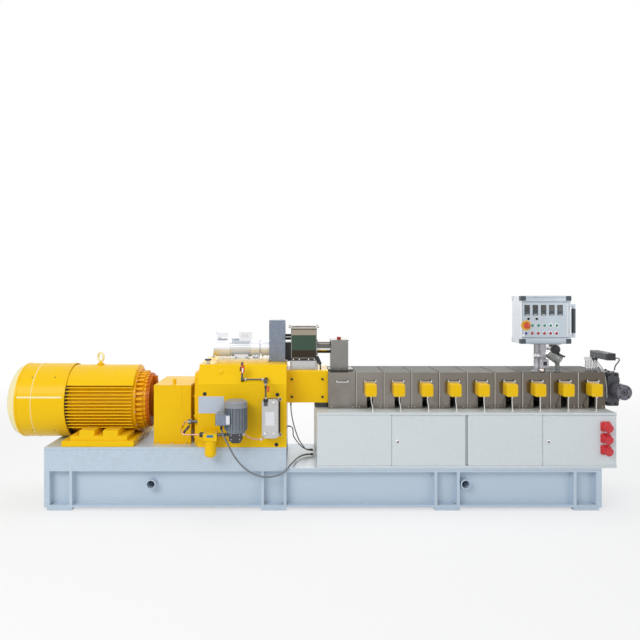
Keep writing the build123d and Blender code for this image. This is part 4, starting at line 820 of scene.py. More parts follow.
def makeMotorTrim(s):
    shapes = newShapes()
    paint, zinc = shapes["machine_yellow"], shapes["zincScrew"]
    low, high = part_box("motor_fan_cowl")
    radius = (high.z - low.z) / 2
    # rolled rims of the cowl, its pale bead as a painted highlight, and a black ring as painted shade in the gap
    # between its edge and the fins
    for startX in (low.x, high.x - s["rimWidth"]):
        addLathe(paint, (startX, midY, motorAxis.z), rightWay,
                 [(radius - 0.003, 0), (radius + s["rimProud"], 0.0015),
                  (radius + s["rimProud"], s["rimWidth"] - 0.0015), (radius - 0.003, s["rimWidth"])],
                 96, closed=True)
    pale = shapes["paleYellow"]
    addRing(pale, (s["beadX"], midY, motorAxis.z), rightWay, radius, 0.0036, 96, 6)
    inner, outer = s["shadeRing"]
    addLathe(shapes["blackRubber"], (bodyX + 0.0005, midY, motorAxis.z), rightWay,
             [(inner, 0), (outer, 0), (outer, 0.011), (inner, 0.011)], 96, closed=True)
    # pale seam strip along both sides as a painted highlight, and the cowl's own screws
    lift = s["seamZ"] - motorAxis.z
    reach = math.sqrt(radius ** 2 - lift ** 2)
    for side in (-1, 1):
        way = Vector((0, side * reach, lift))
        middle = Vector(((low.x + high.x) / 2, midY, motorAxis.z)) + way * 0.9975
        addPlate(pale, middle, way, high.x - low.x - 0.05, 0.016, 0.0026, 0.004, 0.001)
        for screwX in (low.x + 0.06, (low.x + high.x) / 2, high.x - 0.06):
            addPan(pale, (screwX, middle.y + side * 0.0018, middle.z), way, 0.005)
        for lean in (-1, 1):
            way = Vector((0, side, lean)).normalized()
            for screwX in s["screwXs"]:
                addPan(shapes["darkPrimer"], Vector((screwX, midY, motorAxis.z)) + way * (radius - 0.001), way,
                       0.006)
    # cooling fan behind the slotted cover
    black, hub = shapes["blackRubber"], Vector((s["fanX"], midY, motorAxis.z))
    addLathe(black, hub, rightWay, [(0.05, -0.03), (s["fanHub"], -0.01), (s["fanHub"], 0.08), (0.05, 0.09)], 32)
    for number in range(s["fanBlades"]):
        angle = 2 * math.pi * number / s["fanBlades"]
        out = Vector((0, math.cos(angle), math.sin(angle)))
        root = hub + rightWay * 0.035
        addBar(black, root + out * (s["fanHub"] - 0.01), root + out * s["fanReach"], 0.006, 0.075, 0.002)
    # bolts that hold the frame on its pads, and the end shield on the frame
    plateTop = highOf("motor_foot_plate").z
    for boltY in (midY - s["boltY"], midY + s["boltY"]):
        for footX in s["footXs"]:
            addBolt(zinc, (footX, boltY, plateTop + s["footThick"]), up, 0.017)
        for padX in s["padXs"]:
            addBolt(paint, (padX, boltY, plateTop), up, 0.015)
    flangeR = (highOf("motor_end_shield").z - lowOf("motor_end_shield").z) / 2 - 0.0095
    addAround(addBolt, zinc, (shieldX + 0.018, midY, motorAxis.z), rightWay, flangeR, s["flangeBolts"], 0.0062,
              math.pi / 12)
    finishShapes("motorTrim", shapes)


def makeEyeBolt(s):
    shapes = newShapes()
    low = lowOf("motor_eye_bolt")
    turn = math.radians(s["eyeTurn"])
    way = Vector((math.sin(turn), math.cos(turn), 0))
    addLathe(shapes["machine_yellow"], (s["eyeX"], midY, low.z), up,
             [(0.028, 0), (0.032, 0.003), (0.032, 0.009), (0.024, 0.014), (0.016, 0.02), (0.0145, 0.03)], 28)
    addRing(shapes["paleYellow"], (s["eyeX"], midY, s["eyeZ"]), way, s["eyeRadius"], s["eyeTube"], 40, 12)
    finishShapes("motorEyeBolt", shapes, replaced=("motor_eye_bolt",))


makeMotorTrim(motorSettings)
makeEyeBolt(motorSettings)
print("motor trimmed")

driveSettings = {"panelLow": (-1.3725, 0.864), "panelHigh": (-1.1915, 1.061), "screwInset": 0.012,
                 "screw": 0.006, "footStrip": 0.032, "mouthZ": 1.0595, "mouthWidth": 0.44}


def makeGuardTrim(s):
    shapes = newShapes()
    paint = shapes["machine_yellow"]
    low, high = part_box("coupling_guard")
    (leftX, bottomZ), (rightX, topZ), inset = s["panelLow"], s["panelHigh"], s["screwInset"]
    for screwX, screwZ in product((leftX + inset, rightX - inset),
                                  (bottomZ + inset, (bottomZ + topZ) / 2, topZ - inset)):
        addPan(paint, (screwX, low.y, screwZ), front, s["screw"])
    # foot strips with their bolts
    wide = s["footStrip"]
    for side, edgeY in ((-1, low.y + 0.003), (1, high.y)):
        stripY = edgeY + side * wide / 2
        addPlate(paint, ((low.x + high.x) / 2, stripY, deckTop), up, high.x - low.x, wide, 0.005, 0.004)
        for share in (0.12, 0.5, 0.88):
            addBolt(shapes["zincScrew"], (low.x + share * (high.x - low.x), stripY, deckTop + 0.005), up, 0.008)
    # lip over both mouths of the arch
    for edgeX, way in ((low.x, leftWay), (high.x, rightWay)):
        addPlate(paint, (edgeX, midY, s["mouthZ"]), way, s["mouthWidth"], 0.014, 0.002, 0.004)
    finishShapes("guardTrim", shapes)


def makeGearboxTrim(s):
    shapes = newShapes()
    paint, zinc, black = shapes["machine_yellow"], shapes["zincScrew"], shapes["blackScrew"]
    low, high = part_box("gearbox_housing")
    plate = s["card"]
    addPlate(shapes["bareCard"], (plate["x"], frontY, plate["z"]), front, plate["width"], plate["height"],
             0.002, 0.004)
    halfX, halfZ = plate["width"] / 2 - 0.009, plate["height"] / 2 - 0.009
    for acrossX, acrossZ in product((-halfX, halfX), (-halfZ, halfZ)):
        addPan(zinc, (plate["x"] + acrossX, frontY - 0.002, plate["z"] + acrossZ), front, 0.0035)
    for plugX, plugZ in s["plugs"]:
        addLathe(black, (plugX, frontY, plugZ), front,
                 [(0.0165, 0), (0.0165, 0.003), (0.014, 0.0045), (0.0075, 0.0045), (0.007, 0.001)], 24)
    # joint line between the two halves of the housing, and the screws of its left face
    addPlate(paint, ((gearboxX + stepX) / 2, frontY, s["jointZ"]), front, stepX - gearboxX - 0.004, 0.0035,
             0.0012, 0.0005, 0.0004)
    for boltZ, boltY in product(s["sideBoltZs"], (midY - s["sideBoltY"], midY + s["sideBoltY"])):
        addBolt(paint, (low.x, boltY, boltZ), leftWay, 0.011)
    # bearing cover round the input shaft
    ring = Vector((low.x, midY, motorAxis.z))
    addLathe(paint, ring, leftWay, [(0.1, 0), (0.155, 0), (0.155, 0.009), (0.148, 0.013), (0.1, 0.013)], 48,
             closed=True)
    addAround(addBolt, zinc, ring + leftWay * 0.013, leftWay, 0.136, 8, 0.0065, math.pi / 8)
    for boltX, boltY in product(s["riserBolts"], (midY - s["riserBoltY"], midY + s["riserBoltY"])):
        addBolt(zinc, (boltX, boltY, high.z), up, 0.008)
    # lifting eyes on the corners of the top
    eyeY = backY - s["eyeInset"]
    for eyeX in (gearboxX + 0.05, stepX - 0.19):
        addLathe(zinc, (eyeX, eyeY, high.z - 0.025), up, [(0.02, 0), (0.02, 0.008), (0.01, 0.014)], 20)
        addRing(zinc, (eyeX, eyeY, high.z + 0.012), rightWay, 0.02, 0.0055, 28, 8)
    finishShapes("gearboxTrim", shapes)


def makeGearboxFittings(s):
    shapes = newShapes()
    x, y = s["breather"]
    base = (x, y, highOf("gearbox_housing").z - 0.025)
    addLathe(shapes["bright_steel"], base, up,
             [(0.02, 0), (0.02, 0.004), (0.015, 0.006), (0.015, 0.026), (0.024, 0.029)], 24)
    addLathe(shapes["blackScrew"], Vector(base) + up * 0.029, up,
             [(0.026, 0), (0.031, 0.002), (0.031, 0.010), (0.024, 0.0148), (0.01, 0.015)], 28)
    addLathe(shapes["machine_yellow"], s["plug"], s["plugWay"],
             [(0.024, 0), (0.024, 0.004), (0.021, 0.007), (0.014, 0.0092), (0.006, 0.01)], 28)
    finishShapes("gearboxFittings", shapes, replaced=("gearbox_fittings",))


gearboxSettings = {
    "card": {"x": -0.9105, "z": 0.9195, "width": 0.222, "height": 0.147},
    "plugs": ((-0.9675, 1.015), (-0.3345, 1.009), (-0.3435, 0.574)), "jointZ": 1.036,
    "riserBolts": (-0.84, -0.73, -0.61, -0.49), "riserBoltY": 0.14, "eyeInset": 0.17,
    "sideBoltZs": (0.62, 0.80, 0.98, 1.12), "sideBoltY": 0.335, "breather": (-0.9625, -0.153),
    "plug": (-0.8355, -0.2626, 1.1987), "plugWay": (0, -0.793, 0.610),
}
makeGuardTrim(driveSettings)
makeGearboxTrim(gearboxSettings)
makeGearboxFittings(gearboxSettings)
print("drive and gearbox trimmed")

lubeSettings = {
    "lid": (-0.7855, -0.557, 0.831), "lidScrew": 0.004, "pumpAxis": (-0.6845, -0.465),
    "blockFace": {"y": -0.52, "xs": (-0.72, -0.649), "zs": (0.662, 0.697)}, "filterAxis": (-0.9055, -0.427),
    "headTop": 0.697, "coolerPlates": 13, "card": (-0.397, 0.818),
    "valveLever": {"start": (-1.107, 0.728), "end": (-1.156, 0.669)}, "valveY": -0.277,
    "topLever": {"x": -0.634, "z": 1.233, "length": 0.072}, "teeHandle": (-0.4315, 1.092),
}


def makeLubeTrim(s):
    shapes = newShapes()
    zinc, black = shapes["zincScrew"], shapes["blackScrew"]
    slate = shapes["slate_paint"]
    # terminal box of the pump motor: lid, seam, screws and a white strip
    boxX, boxY, boxZ = s["lid"]
    addPlate(slate, (boxX, boxY, boxZ), front, 0.122, 0.088, 0.003, 0.008)
    addFrame(black, (boxX, boxY + 0.0008, boxZ), front, 0.1262, 0.0922, 0.003, 0.0012, 0.009)
    for acrossX, acrossZ in product((-0.053, 0.053), (-0.036, 0.036)):
        addPan(zinc, (boxX + acrossX, boxY - 0.0025, boxZ + acrossZ), front, s["lidScrew"])
    addPlate(shapes["whiteCard"], (boxX + 0.042, boxY - 0.003, boxZ), front, 0.03, 0.07, 0.0006, 0.001, 0.0002)
    # cowl of the pump motor: rim and pan screws
    axisX, axisY = s["pumpAxis"]
    addRing(slate, (axisX, axisY, pumpHoodZ + 0.004), up, 0.0966, 0.0014, 48, 6)
    for number in range(4):
        angle = math.radians(20) + number * math.pi / 2
        way = Vector((math.cos(angle), math.sin(angle), 0))
        addPan(zinc, Vector((axisX, axisY, pumpHoodZ + 0.018)) + way * 0.0945, way, 0.0045)
    # screws of the pump's flange and block
    for acrossX, acrossY in product((-0.04, 0.04), (-0.04, 0.04)):
        addCapScrew(zinc, (axisX + acrossX, axisY + acrossY, 0.647), down, 0.0055)
    face = s["blockFace"]
    for boltX, boltZ in product(face["xs"], face["zs"]):
        addCapScrew(zinc, (boltX, face["y"], boltZ), front, 0.005)
    # unions of the copper pipes
    addLathe(shapes["whiteCard"], (-0.6295, axisY, 0.694), rightWay,
             [(0.016, 0), (0.016, 0.008), (0.012, 0.01), (0.012, 0.02), (0.009, 0.022)], 6)
    addLathe(zinc, (-0.4635, -0.473, 0.652), leftWay, [(0.014, 0), (0.014, 0.012), (0.011, 0.014)], 6)
    # filter: blue plate on its head, collar of its bowl, drain, head screws and dark inlet nut
    filterX, filterY = s["filterAxis"]
    addPlate(shapes["blueCard"], (-0.903, -0.479, 0.6776), front, 0.058, 0.022, 0.0012, 0.002)
    addLathe(shapes["machine_yellow"], (filterX, filterY, 0.622), up,
             [(0.0498, 0), (0.0545, 0.0015), (0.0545, 0.013), (0.0498, 0.0148)], 40, closed=True)
    addLathe(black, (filterX, filterY, lowOf("oil_filter").z + 0.001), up,
             [(0.011, 0), (0.013, 0.003), (0.013, 0.006)], 6)
    for acrossX, acrossY in product((-0.048, 0.048), (-0.04, 0.04)):
        addCapScrew(zinc, (filterX + acrossX, filterY + acrossY, s["headTop"]), up, 0.0055)
    addLathe(black, (filterX - 0.093, filterY, 0.681), rightWay, [(0.0225, 0), (0.0225, 0.034)], 6)
    # dark fitting over the cooler, and a black plate behind its edge as painted shadow
    low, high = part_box("oil_cooler")
    teeX, teeZ = s["teeHandle"]
    addLathe(black, (teeX, -0.452, 0.966), up, [(0.019, 0), (0.021, 0.003), (0.021, 0.019), (0.014, 0.024)], 20)
    addPlate(black, (high.x - 0.004, frontY, 0.816), front, 0.04, 0.29, 0.012, 0.018)
    # cooler: edges of its stack of plates, bare centre plate, nuts on its ports, brackets on the gearbox
    faceY = low.y + 0.012
    middle = ((low.x + high.x) / 2, (low.z + high.z) / 2)
    stack = shapes["bright_steel"]
    for number in range(s["coolerPlates"]):
        rimY = faceY + 0.008 + number * 0.0063
        addFrame(stack, (middle[0], rimY, middle[1]), front, high.x - low.x + 0.004, high.z - low.z + 0.004,
                 0.004, 0.0026, 0.027)
    cardX, cardZ = s["card"]
    addPlate(shapes["whiteCard"], (cardX, faceY, cardZ), front, 0.076, 0.118, 0.0009, 0.003, 0.0003)
    addFrame(stack, (middle[0], faceY, middle[1]), front, high.x - low.x - 0.004, high.z - low.z - 0.004,
             0.005, 0.0022, 0.025)
    for bossX, bossZ in product((low.x + 0.032, high.x - 0.032), (low.z + 0.034, high.z - 0.034)):
        addLathe(zinc, (bossX, low.y, bossZ), front,
                 [(0.0175, 0), (0.0175, 0.009), (0.014, 0.011), (0.009, 0.011), (0.008, 0.004)], 6, turn=0.3)
    for bracketZ in (low.z + 0.012, high.z - 0.012):
        addPlate(stack, (high.x + 0.012, frontY, bracketZ), front, 0.03, 0.026, 0.005, 0.004)
        addBolt(black, (high.x + 0.016, frontY - 0.005, bracketZ), front, 0.007)
    # ball valve at the gearbox's left, with its lever hanging down
    (startX, startZ), (endX, endZ) = s["valveLever"]["start"], s["valveLever"]["end"]
    addLathe(zinc, (startX, s["valveY"] - 0.018, startZ + 0.035), front,
             [(0.011, 0), (0.011, 0.012), (0.008, 0.014)], 12)
    lever, leverY = shapes["darkPrimer"], s["valveY"] - 0.034
    addBar(lever, (startX, leverY, startZ + 0.04), (startX, leverY, startZ), 0.004, 0.02, 0.0015)
    addBar(lever, (startX, leverY, startZ + 0.002), (endX, leverY, endZ), 0.007, 0.021, 0.003)
    # levers of the two small valves on the top, and the union nuts in their lines
    knob = shapes["orangeKnob"]
    top = s["topLever"]
    addPlate(knob, (top["x"], frontY - 0.019, top["z"]), front, 0.03, top["length"], 0.006, 0.008)
    addPlate(shapes["chrome"], (top["x"] - 0.002, frontY - 0.025, top["z"] - 0.01), front, 0.012, 0.04, 0.003,
             0.004)
    addLathe(black, (-0.6415, frontY, 1.231), front, [(0.01, 0.01), (0.01, 0.02), (0.007, 0.022)], 6)
    addPlate(knob, (teeX + 0.0225, -0.472, teeZ - 0.013), front, 0.022, 0.054, 0.008, 0.006)
    addLathe(black, (teeX, -0.466, teeZ), front, [(0.011, 0), (0.011, 0.012), (0.008, 0.014)], 12)
    for lineX in (-0.612, -0.463):
        addLathe(zinc, (lineX, frontY, 1.142), rightWay,
                 [(0.012, -0.008), (0.0135, -0.007), (0.0135, 0.007), (0.012, 0.008)], 6)
    for lineZ in (1.0, 1.118):
        addLathe(zinc, (teeX, -0.458, lineZ), up,
                 [(0.011, -0.008), (0.0125, -0.007), (0.0125, 0.007), (0.011, 0.008)], 6)
    finishShapes("lubeTrim", shapes)


makeLubeTrim(lubeSettings)

coverSettings = {"beadWidth": 0.009, "beadProud": 0.0016, "shadowWidth": 0.004, "screw": 0.005,
                 "screwX": 0.095}


def makeCoverTrim(s):
    shapes = newShapes()
    edge, dark = shapes["coverEdge"], shapes["blackRubber"]
    low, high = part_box("barrel_covers")
    tall, middleZ, proud = high.z - low.z, (low.z + high.z) / 2, s["beadProud"]
    # bright bead and shadow of each seam, and its dark line on the top
    for number in range(9):
        seamX = coversX + coverPitch * (number + 1) - 0.0015
        for beadY, way in ((coverFrontY, front), (coverBackY, back)):
            addPlate(edge, (seamX + 0.004, beadY, middleZ), way, s["beadWidth"], tall, proud, 0.002)
        addPlate(dark, (seamX + 0.004, midY, high.z), up, 0.004, coverDepth - 0.004, proud, 0.001, 0.0004)
        addPlate(dark, (seamX - 0.0035, coverFrontY, middleZ), front, s["shadowWidth"], tall, 0.0006, 0.0005,
                 0.0002)
    # polished top of each cover, dark with painted reflection streaks, and the screws along its low edge, front
    # and back
    for number in range(10):
        middleX = coversX + coverPitch * (number + 0.5)
        addPlate(shapes["polishedTop"], (middleX, midY, high.z - 0.0002), up, coverPitch - 0.014,
                 coverDepth - 0.004, 0.0008, 0.003, 0.0003)
        for screwX in (middleX - s["screwX"], middleX + s["screwX"]):
            addPan(shapes["zincScrew"], (screwX, coverFrontY, low.z + 0.016), front, s["screw"])
            addPan(shapes["zincScrew"], (screwX, coverBackY, low.z + 0.016), back, s["screw"])
    finishShapes("coverTrim", shapes)


def makeTerminalBoxes(s):
    # rounded boxes on the covers: body, rubber joint, lid, four screws, gland nut
    shapes = newShapes()
    paint, joint = shapes["machine_yellow"], shapes["blackRubber"]
    low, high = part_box("heater_terminal_boxes")
    middleZ = (low.z + 0.012 + high.z) / 2
    tall = high.z - low.z - 0.012
    for centreX in boxCentres:
        addPlate(paint, (centreX, coverFrontY, middleZ), front, s["width"], tall, s["body"], s["corner"], 0.001)
        addPlate(joint, (centreX, coverFrontY - s["body"], middleZ), front, s["width"] - 0.004, tall - 0.004,
                 0.0025, s["corner"] - 0.002, 0.0002)
        lidY = coverFrontY - s["body"] - 0.0025
        addPlate(paint, (centreX, lidY, middleZ), front, s["width"], tall, lidY - low.y - 0.002, s["corner"],
                 0.006)
        halfX, halfZ = s["width"] / 2 - 0.016, tall / 2 - 0.016
        for acrossX, acrossZ in product((-halfX, halfX), (-halfZ, halfZ)):
            addCapScrew(shapes["zincScrew"], (centreX + acrossX, low.y + 0.004, middleZ + acrossZ), front, 0.0036)
        addLathe(shapes["chrome"], (centreX, boxGlandY, low.z + 0.013), down,
                 [(0.0115, 0), (0.0115, 0.006), (0.0085, 0.0075), (0.0085, 0.010), (0.006, 0.0125)], 6)
    finishShapes("terminalBox", shapes, replaced=("heater_terminal_boxes",))


makeCoverTrim(coverSettings)
makeTerminalBoxes({"width": 0.101, "body": 0.078, "corner": 0.014})


def makeLanternTrim(s):
    shapes = newShapes()
    low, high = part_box("lantern_housing")
    for boltX, boltZ in product(s["boltXs"], s["boltZs"]):
        addCapScrew(shapes["blackScrew"], (boltX, low.y, boltZ), front, 0.0105)
        addCapScrew(shapes["blackScrew"], (boltX, high.y, boltZ), back, 0.0105)
    # end flanges
    for flangeX in (low.x, high.x - s["flange"]):
        addFrame(shapes["machine_yellow"], (flangeX, midY, (s["flangeZ"] + high.z) / 2), rightWay, s["width"],
                 high.z - s["flangeZ"] + 0.001, 0.006, s["flange"], 0.012)
    finishShapes("lanternTrim", shapes)


makeLanternTrim({"boltXs": (-0.2105, 0.0665), "boltZs": (1.1116, 0.952), "flange": 0.016, "flangeZ": 0.9,
                 "width": 0.444})
print("lubrication set, covers and lantern trimmed")

cabinetSettings = {
    "lockXs": {"door_2": 0.711, "door_4": 2.024}, "lockZ": 0.598, "leafThick": 0.025, "louvres": 9,
    "louvreWay": (0, 0.94, -0.34), "backScrewPitch": 0.29, "stripZ": 0.609, "stripTall": 0.43,
}


def makeCabinetTrim(s):
    for body, lockX in s["lockXs"].items():
        shapes = newShapes()
        lockY = lowOf("door_leaf_" + body[-1]).y
        addLathe(shapes["chrome"], (lockX, lockY + 0.0005, s["lockZ"]), front,
                 [(0.0105, 0), (0.0175, 0.0002), (0.0175, 0.002), (0.0155, 0.0034), (0.0105, 0.0034)], 36,
                 closed=True)
        addLathe(shapes["blackRubber"], (lockX, lockY, s["lockZ"]), front, [(0.0108, 0), (0.0108, 0.0016)], 28)
        addPlate(shapes["chrome"], (lockX, lockY - 0.0014, s["lockZ"]), front, 0.004, 0.015, 0.0016, 0.0018,
                 0.0004, 0.5)
        finishShapes("lock_" + body, shapes, body)
    # inside of each leaf: stiffening pan with a rubber seal round it, and lips along its edges
    for number in range(1, 5):
        low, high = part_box(f"door_leaf_{number}")
        wide, tall = high.x - low.x, high.z - low.z
        middle = ((low.x + high.x) / 2, frontY + s["leafThick"], (low.z + high.z) / 2)
        shapes = newShapes()
        addFrame(shapes["blackRubber"], middle, back, wide - 0.13, tall - 0.04, 0.01, 0.004, 0.02)
        addPlate(shapes["cabinet_white"], middle, back, wide - 0.21, tall - 0.11, 0.0025, 0.012)
        lipY, thick = low.y + 0.004, 0.0036
        for lipZ in (high.z + 0.0015, low.z - 0.0015):
            addPlate(shapes["cabinet_white"], (middle[0], lipY, lipZ), front, wide, 0.006, thick, 0.001, 0.0004)
        lipX = high.x + 0.0006 if number % 2 else low.x - 0.0006
        addPlate(shapes["cabinet_white"], (lipX, lipY, middle[2]), front, 0.0036, tall, thick, 0.001, 0.0004)
        finishShapes(f"leafInside_{number}", shapes, f"door_{number}")
    shapes = newShapes()
    white = shapes["cabinet_white"]
    low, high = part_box("cabinet_plates")
    # back panels, let in by a sheet's thickness: two rows of screws and a louvred field each
    sheetLow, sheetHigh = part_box("cabinet_back")
    middleX, sunk = (sheetLow.x + sheetHigh.x) / 2, 0.006
    for startX, endX in ((sheetLow.x, middleX - 0.002), (middleX + 0.002, sheetHigh.x)):
        addPlate(white, ((startX + endX) / 2, sheetLow.y, (sheetLow.z + sheetHigh.z) / 2), back, endX - startX,
                 sheetHigh.z - sheetLow.z, sheetHigh.y - sheetLow.y - sunk, 0.003)
    for row in (sheetLow.z + 0.02, sheetHigh.z - 0.02):
        spot = sheetLow.x + 0.05
        while spot < sheetHigh.x - 0.02:
            addPan(shapes["zincScrew"], (spot, sheetHigh.y - sunk, row), back, 0.006)
            spot += s["backScrewPitch"]
    for fieldX in (low.x + 0.5, high.x - 0.5):
        for number in range(s["louvres"]):
            louvreZ = (low.z + high.z) / 2 - 0.1 + 0.025 * number
            addPlate(white, (fieldX, sheetHigh.y - 0.0145, louvreZ), s["louvreWay"], 0.3, 0.012, 0.008, 0.003,
                     0.0015)
    # cover strip in the gap between the second and the third leaf
    addPlate(white, ((low.x + high.x) / 2, frontY + 0.03, s["stripZ"]), front, 0.005, s["stripTall"],
             s["leafThick"], 0.001, 0.0005)
    finishShapes("cabinetTrim", shapes, replaced=("cabinet_back",))


makeCabinetTrim(cabinetSettings)

socketSettings = {"x": 2.5185, "zs": (0.733, 0.632, 0.531), "flange": 0.086, "lean": (0.21, -0.94, -0.24),
                  "ribs": 12}


def makeSockets(s):
    # three red power sockets on the last door: flange, screws, tilted ribbed nose, spring lid with its hinge
    shapes = newShapes()
    red = shapes["socket_red"]
    way = Vector(s["lean"]).normalized()
    for placeZ in s["zs"]:
        base = Vector((s["x"], frontY, placeZ))
        addPlate(red, base, front, s["flange"], s["flange"], 0.012, 0.01, 0.003)
        for acrossX, acrossZ in product((-0.035, 0.035), (-0.035, 0.035)):
            addPan(shapes["zincScrew"], base + Vector((acrossX, -0.012, acrossZ)), front, 0.0042)
        addLathe(red, base + front * 0.008, front, [(0.039, 0), (0.039, 0.008), (0.034, 0.014)], 32)
        addLathe(red, base + front * 0.012, way,
                 [(0.034, -0.008), (0.034, 0.02), (0.0362, 0.022), (0.0362, 0.034), (0.033, 0.037),
                  (0.033, 0.046)], 32)
        nose = base + front * 0.012
        lid = nose + way * 0.0465
        addLathe(red, lid, way, [(0.0375, 0), (0.0375, 0.005), (0.033, 0.0095), (0.012, 0.0108), (0.011, 0.0095)],
                 32)
        hinge = lid + Vector((0, 0.008, 0.036))
        addBar(red, hinge + leftWay * 0.02, hinge + rightWay * 0.02, 0.012, 0.012, 0.005)
        addBar(shapes["chrome"], hinge + leftWay * 0.024, hinge + rightWay * 0.024, 0.004, 0.004, 0.0018)
        axes = way.to_track_quat("Z", "Y").to_matrix()
        for number in range(s["ribs"]):
            angle = 2 * math.pi * number / s["ribs"]
            rib = nose + way * 0.006 + axes @ Vector((math.cos(angle), math.sin(angle), 0)) * 0.0335
            addBar(red, rib, rib + way * 0.012, 0.004, 0.004, 0.0015)
    finishShapes("powerSocket", shapes, "door_4", replaced=("power_sockets",))


makeSockets(socketSettings)
print("cabinet trimmed")

# places on the panel: distance from the box's left edge, and height over the floor
panelSettings = {
    "x": boxLow.x, "y": boxLow.y + 0.008, "displayX": 0.058, "displayPitch": 0.073, "displayZ": 1.7405,
    "displayWidth": 0.048, "displayHeight": 0.093, "digits": ("218", "221", "225", "230", "196"),
    "digitPitch": 0.0095, "knobXs": (0.068, 0.142), "knobZ": 1.664, "stop": (0.05, 1.605),
    "buttons": {"greenCap": (1.605, (0.104, 0.158, 0.212, 0.266, 0.32)), "blueCap": (1.535, (0.048,)),
                "redCap": (1.535, (0.102, 0.156, 0.21, 0.264, 0.318))},
}
segments = {"0": "abcdef", "1": "bc", "2": "abged", "3": "abgcd", "4": "fgbc", "5": "afgcd", "6": "afgedc",
            "7": "abc", "8": "abcdefg", "9": "abcfgd"}


def addDigit(shape, centre, digit, tall):
    # seven bar digit, as on any temperature controller
    wide, thick = tall * 0.5, tall * 0.13
    bars = {"a": (0, tall / 2, True), "g": (0, 0, True), "d": (0, -tall / 2, True),
            "f": (-wide / 2, tall / 4, False), "b": (wide / 2, tall / 4, False),
            "e": (-wide / 2, -tall / 4, False), "c": (wide / 2, -tall / 4, False)}
    for letter in segments[digit]:
        acrossX, acrossZ, flat = bars[letter]
        size = (wide - thick, thick) if flat else (thick, tall / 2 - thick)
        addPlate(shape, Vector(centre) + Vector((acrossX, 0, acrossZ)), front, *size, 0.0006, thick * 0.4, 0.0002)


def makeControlPanel(s):
    shapes = newShapes()
    x, y = s["x"], s["y"]
    for number, digits in enumerate(s["digits"]):
        centre = Vector((x + s["displayX"] + s["displayPitch"] * number, y, s["displayZ"]))
        addPlate(shapes["displayFrame"], centre, front, s["displayWidth"], s["displayHeight"], 0.0055, 0.004,
                 0.0015)
        glass = centre + front * 0.0055
        addPlate(shapes["displayGlass"], glass + up * 0.014, front, s["displayWidth"] - 0.01, 0.05, 0.0012,
                 0.002)
        for row, tall, finish in ((0.026, 0.0115, "litRed"), (0.006, 0.0095, "litGreen")):
            for place, digit in enumerate(digits):
                spot = glass + Vector((s["digitPitch"] * (place - 1), -0.0012, row))
                addDigit(shapes[finish], spot, digit, tall)
        for key in range(4):
            addPlate(shapes["slateCorner"], glass + Vector((-0.0145 + 0.0097 * key, 0, -0.026)), front, 0.0072,
                     0.0062, 0.0016, 0.001)
        addPlate(shapes["whiteCard"], glass + up * -0.038, front, 0.03, 0.004, 0.0005, 0.0005, 0.0002)
    # two selector knobs with their collars
    for knobX in s["knobXs"]:
        centre = Vector((x + knobX, y, s["knobZ"]))
        addLathe(shapes["chrome"], centre, front, [(0.0135, 0), (0.0135, 0.003), (0.012, 0.0045)], 28)
        addLathe(shapes["blackScrew"], centre + front * 0.003, front,
                 [(0.0105, 0), (0.0105, 0.006), (0.009, 0.009)], 24)
        addBar(shapes["blackScrew"], centre + Vector((0, -0.016, -0.011)), centre + Vector((0, -0.016, 0.011)),
               0.0065, 0.009, 0.002)
    # stop button on its round plate
    stop = Vector((x + s["stop"][0], y, s["stop"][1]))
    addLathe(shapes["stopYellow"], stop, front, [(0.044, 0), (0.0455, 0.0008), (0.0455, 0.002), (0.044, 0.0028)],
             48)
    addLathe(shapes["stopYellow"], stop + front * 0.0028, front, [(0.025, 0), (0.025, 0.008), (0.021, 0.01)], 32)
    addLathe(shapes["stopRed"], stop + front * 0.0125, front,
             [(0.014, 0), (0.016, 0.003), (0.0275, 0.006), (0.029, 0.01), (0.027, 0.0165), (0.018, 0.0205),
              (0.006, 0.0218)], 36)
    # lit buttons in their chrome rings, with a bare strip over each
    for finish, (buttonZ, places) in s["buttons"].items():
        for acrossX in places:
            centre = Vector((x + acrossX, y, buttonZ))
            addLathe(shapes["chrome"], centre, front,
                     [(0.012, 0), (0.0185, 0), (0.0185, 0.003), (0.0165, 0.0055), (0.0138, 0.0055),
                      (0.012, 0.004)], 32, closed=True)
            addLathe(shapes[finish], centre + front * 0.0018, front,
                     [(0.0132, 0), (0.0132, 0.0065), (0.011, 0.0088), (0.005, 0.0098)], 24)
            addPlate(shapes["displayFrame"], centre + up * 0.021, front, 0.024, 0.0065, 0.0006, 0.001, 0.0002)
    finishShapes("controlPanel", shapes, replaced=("control_buttons",))


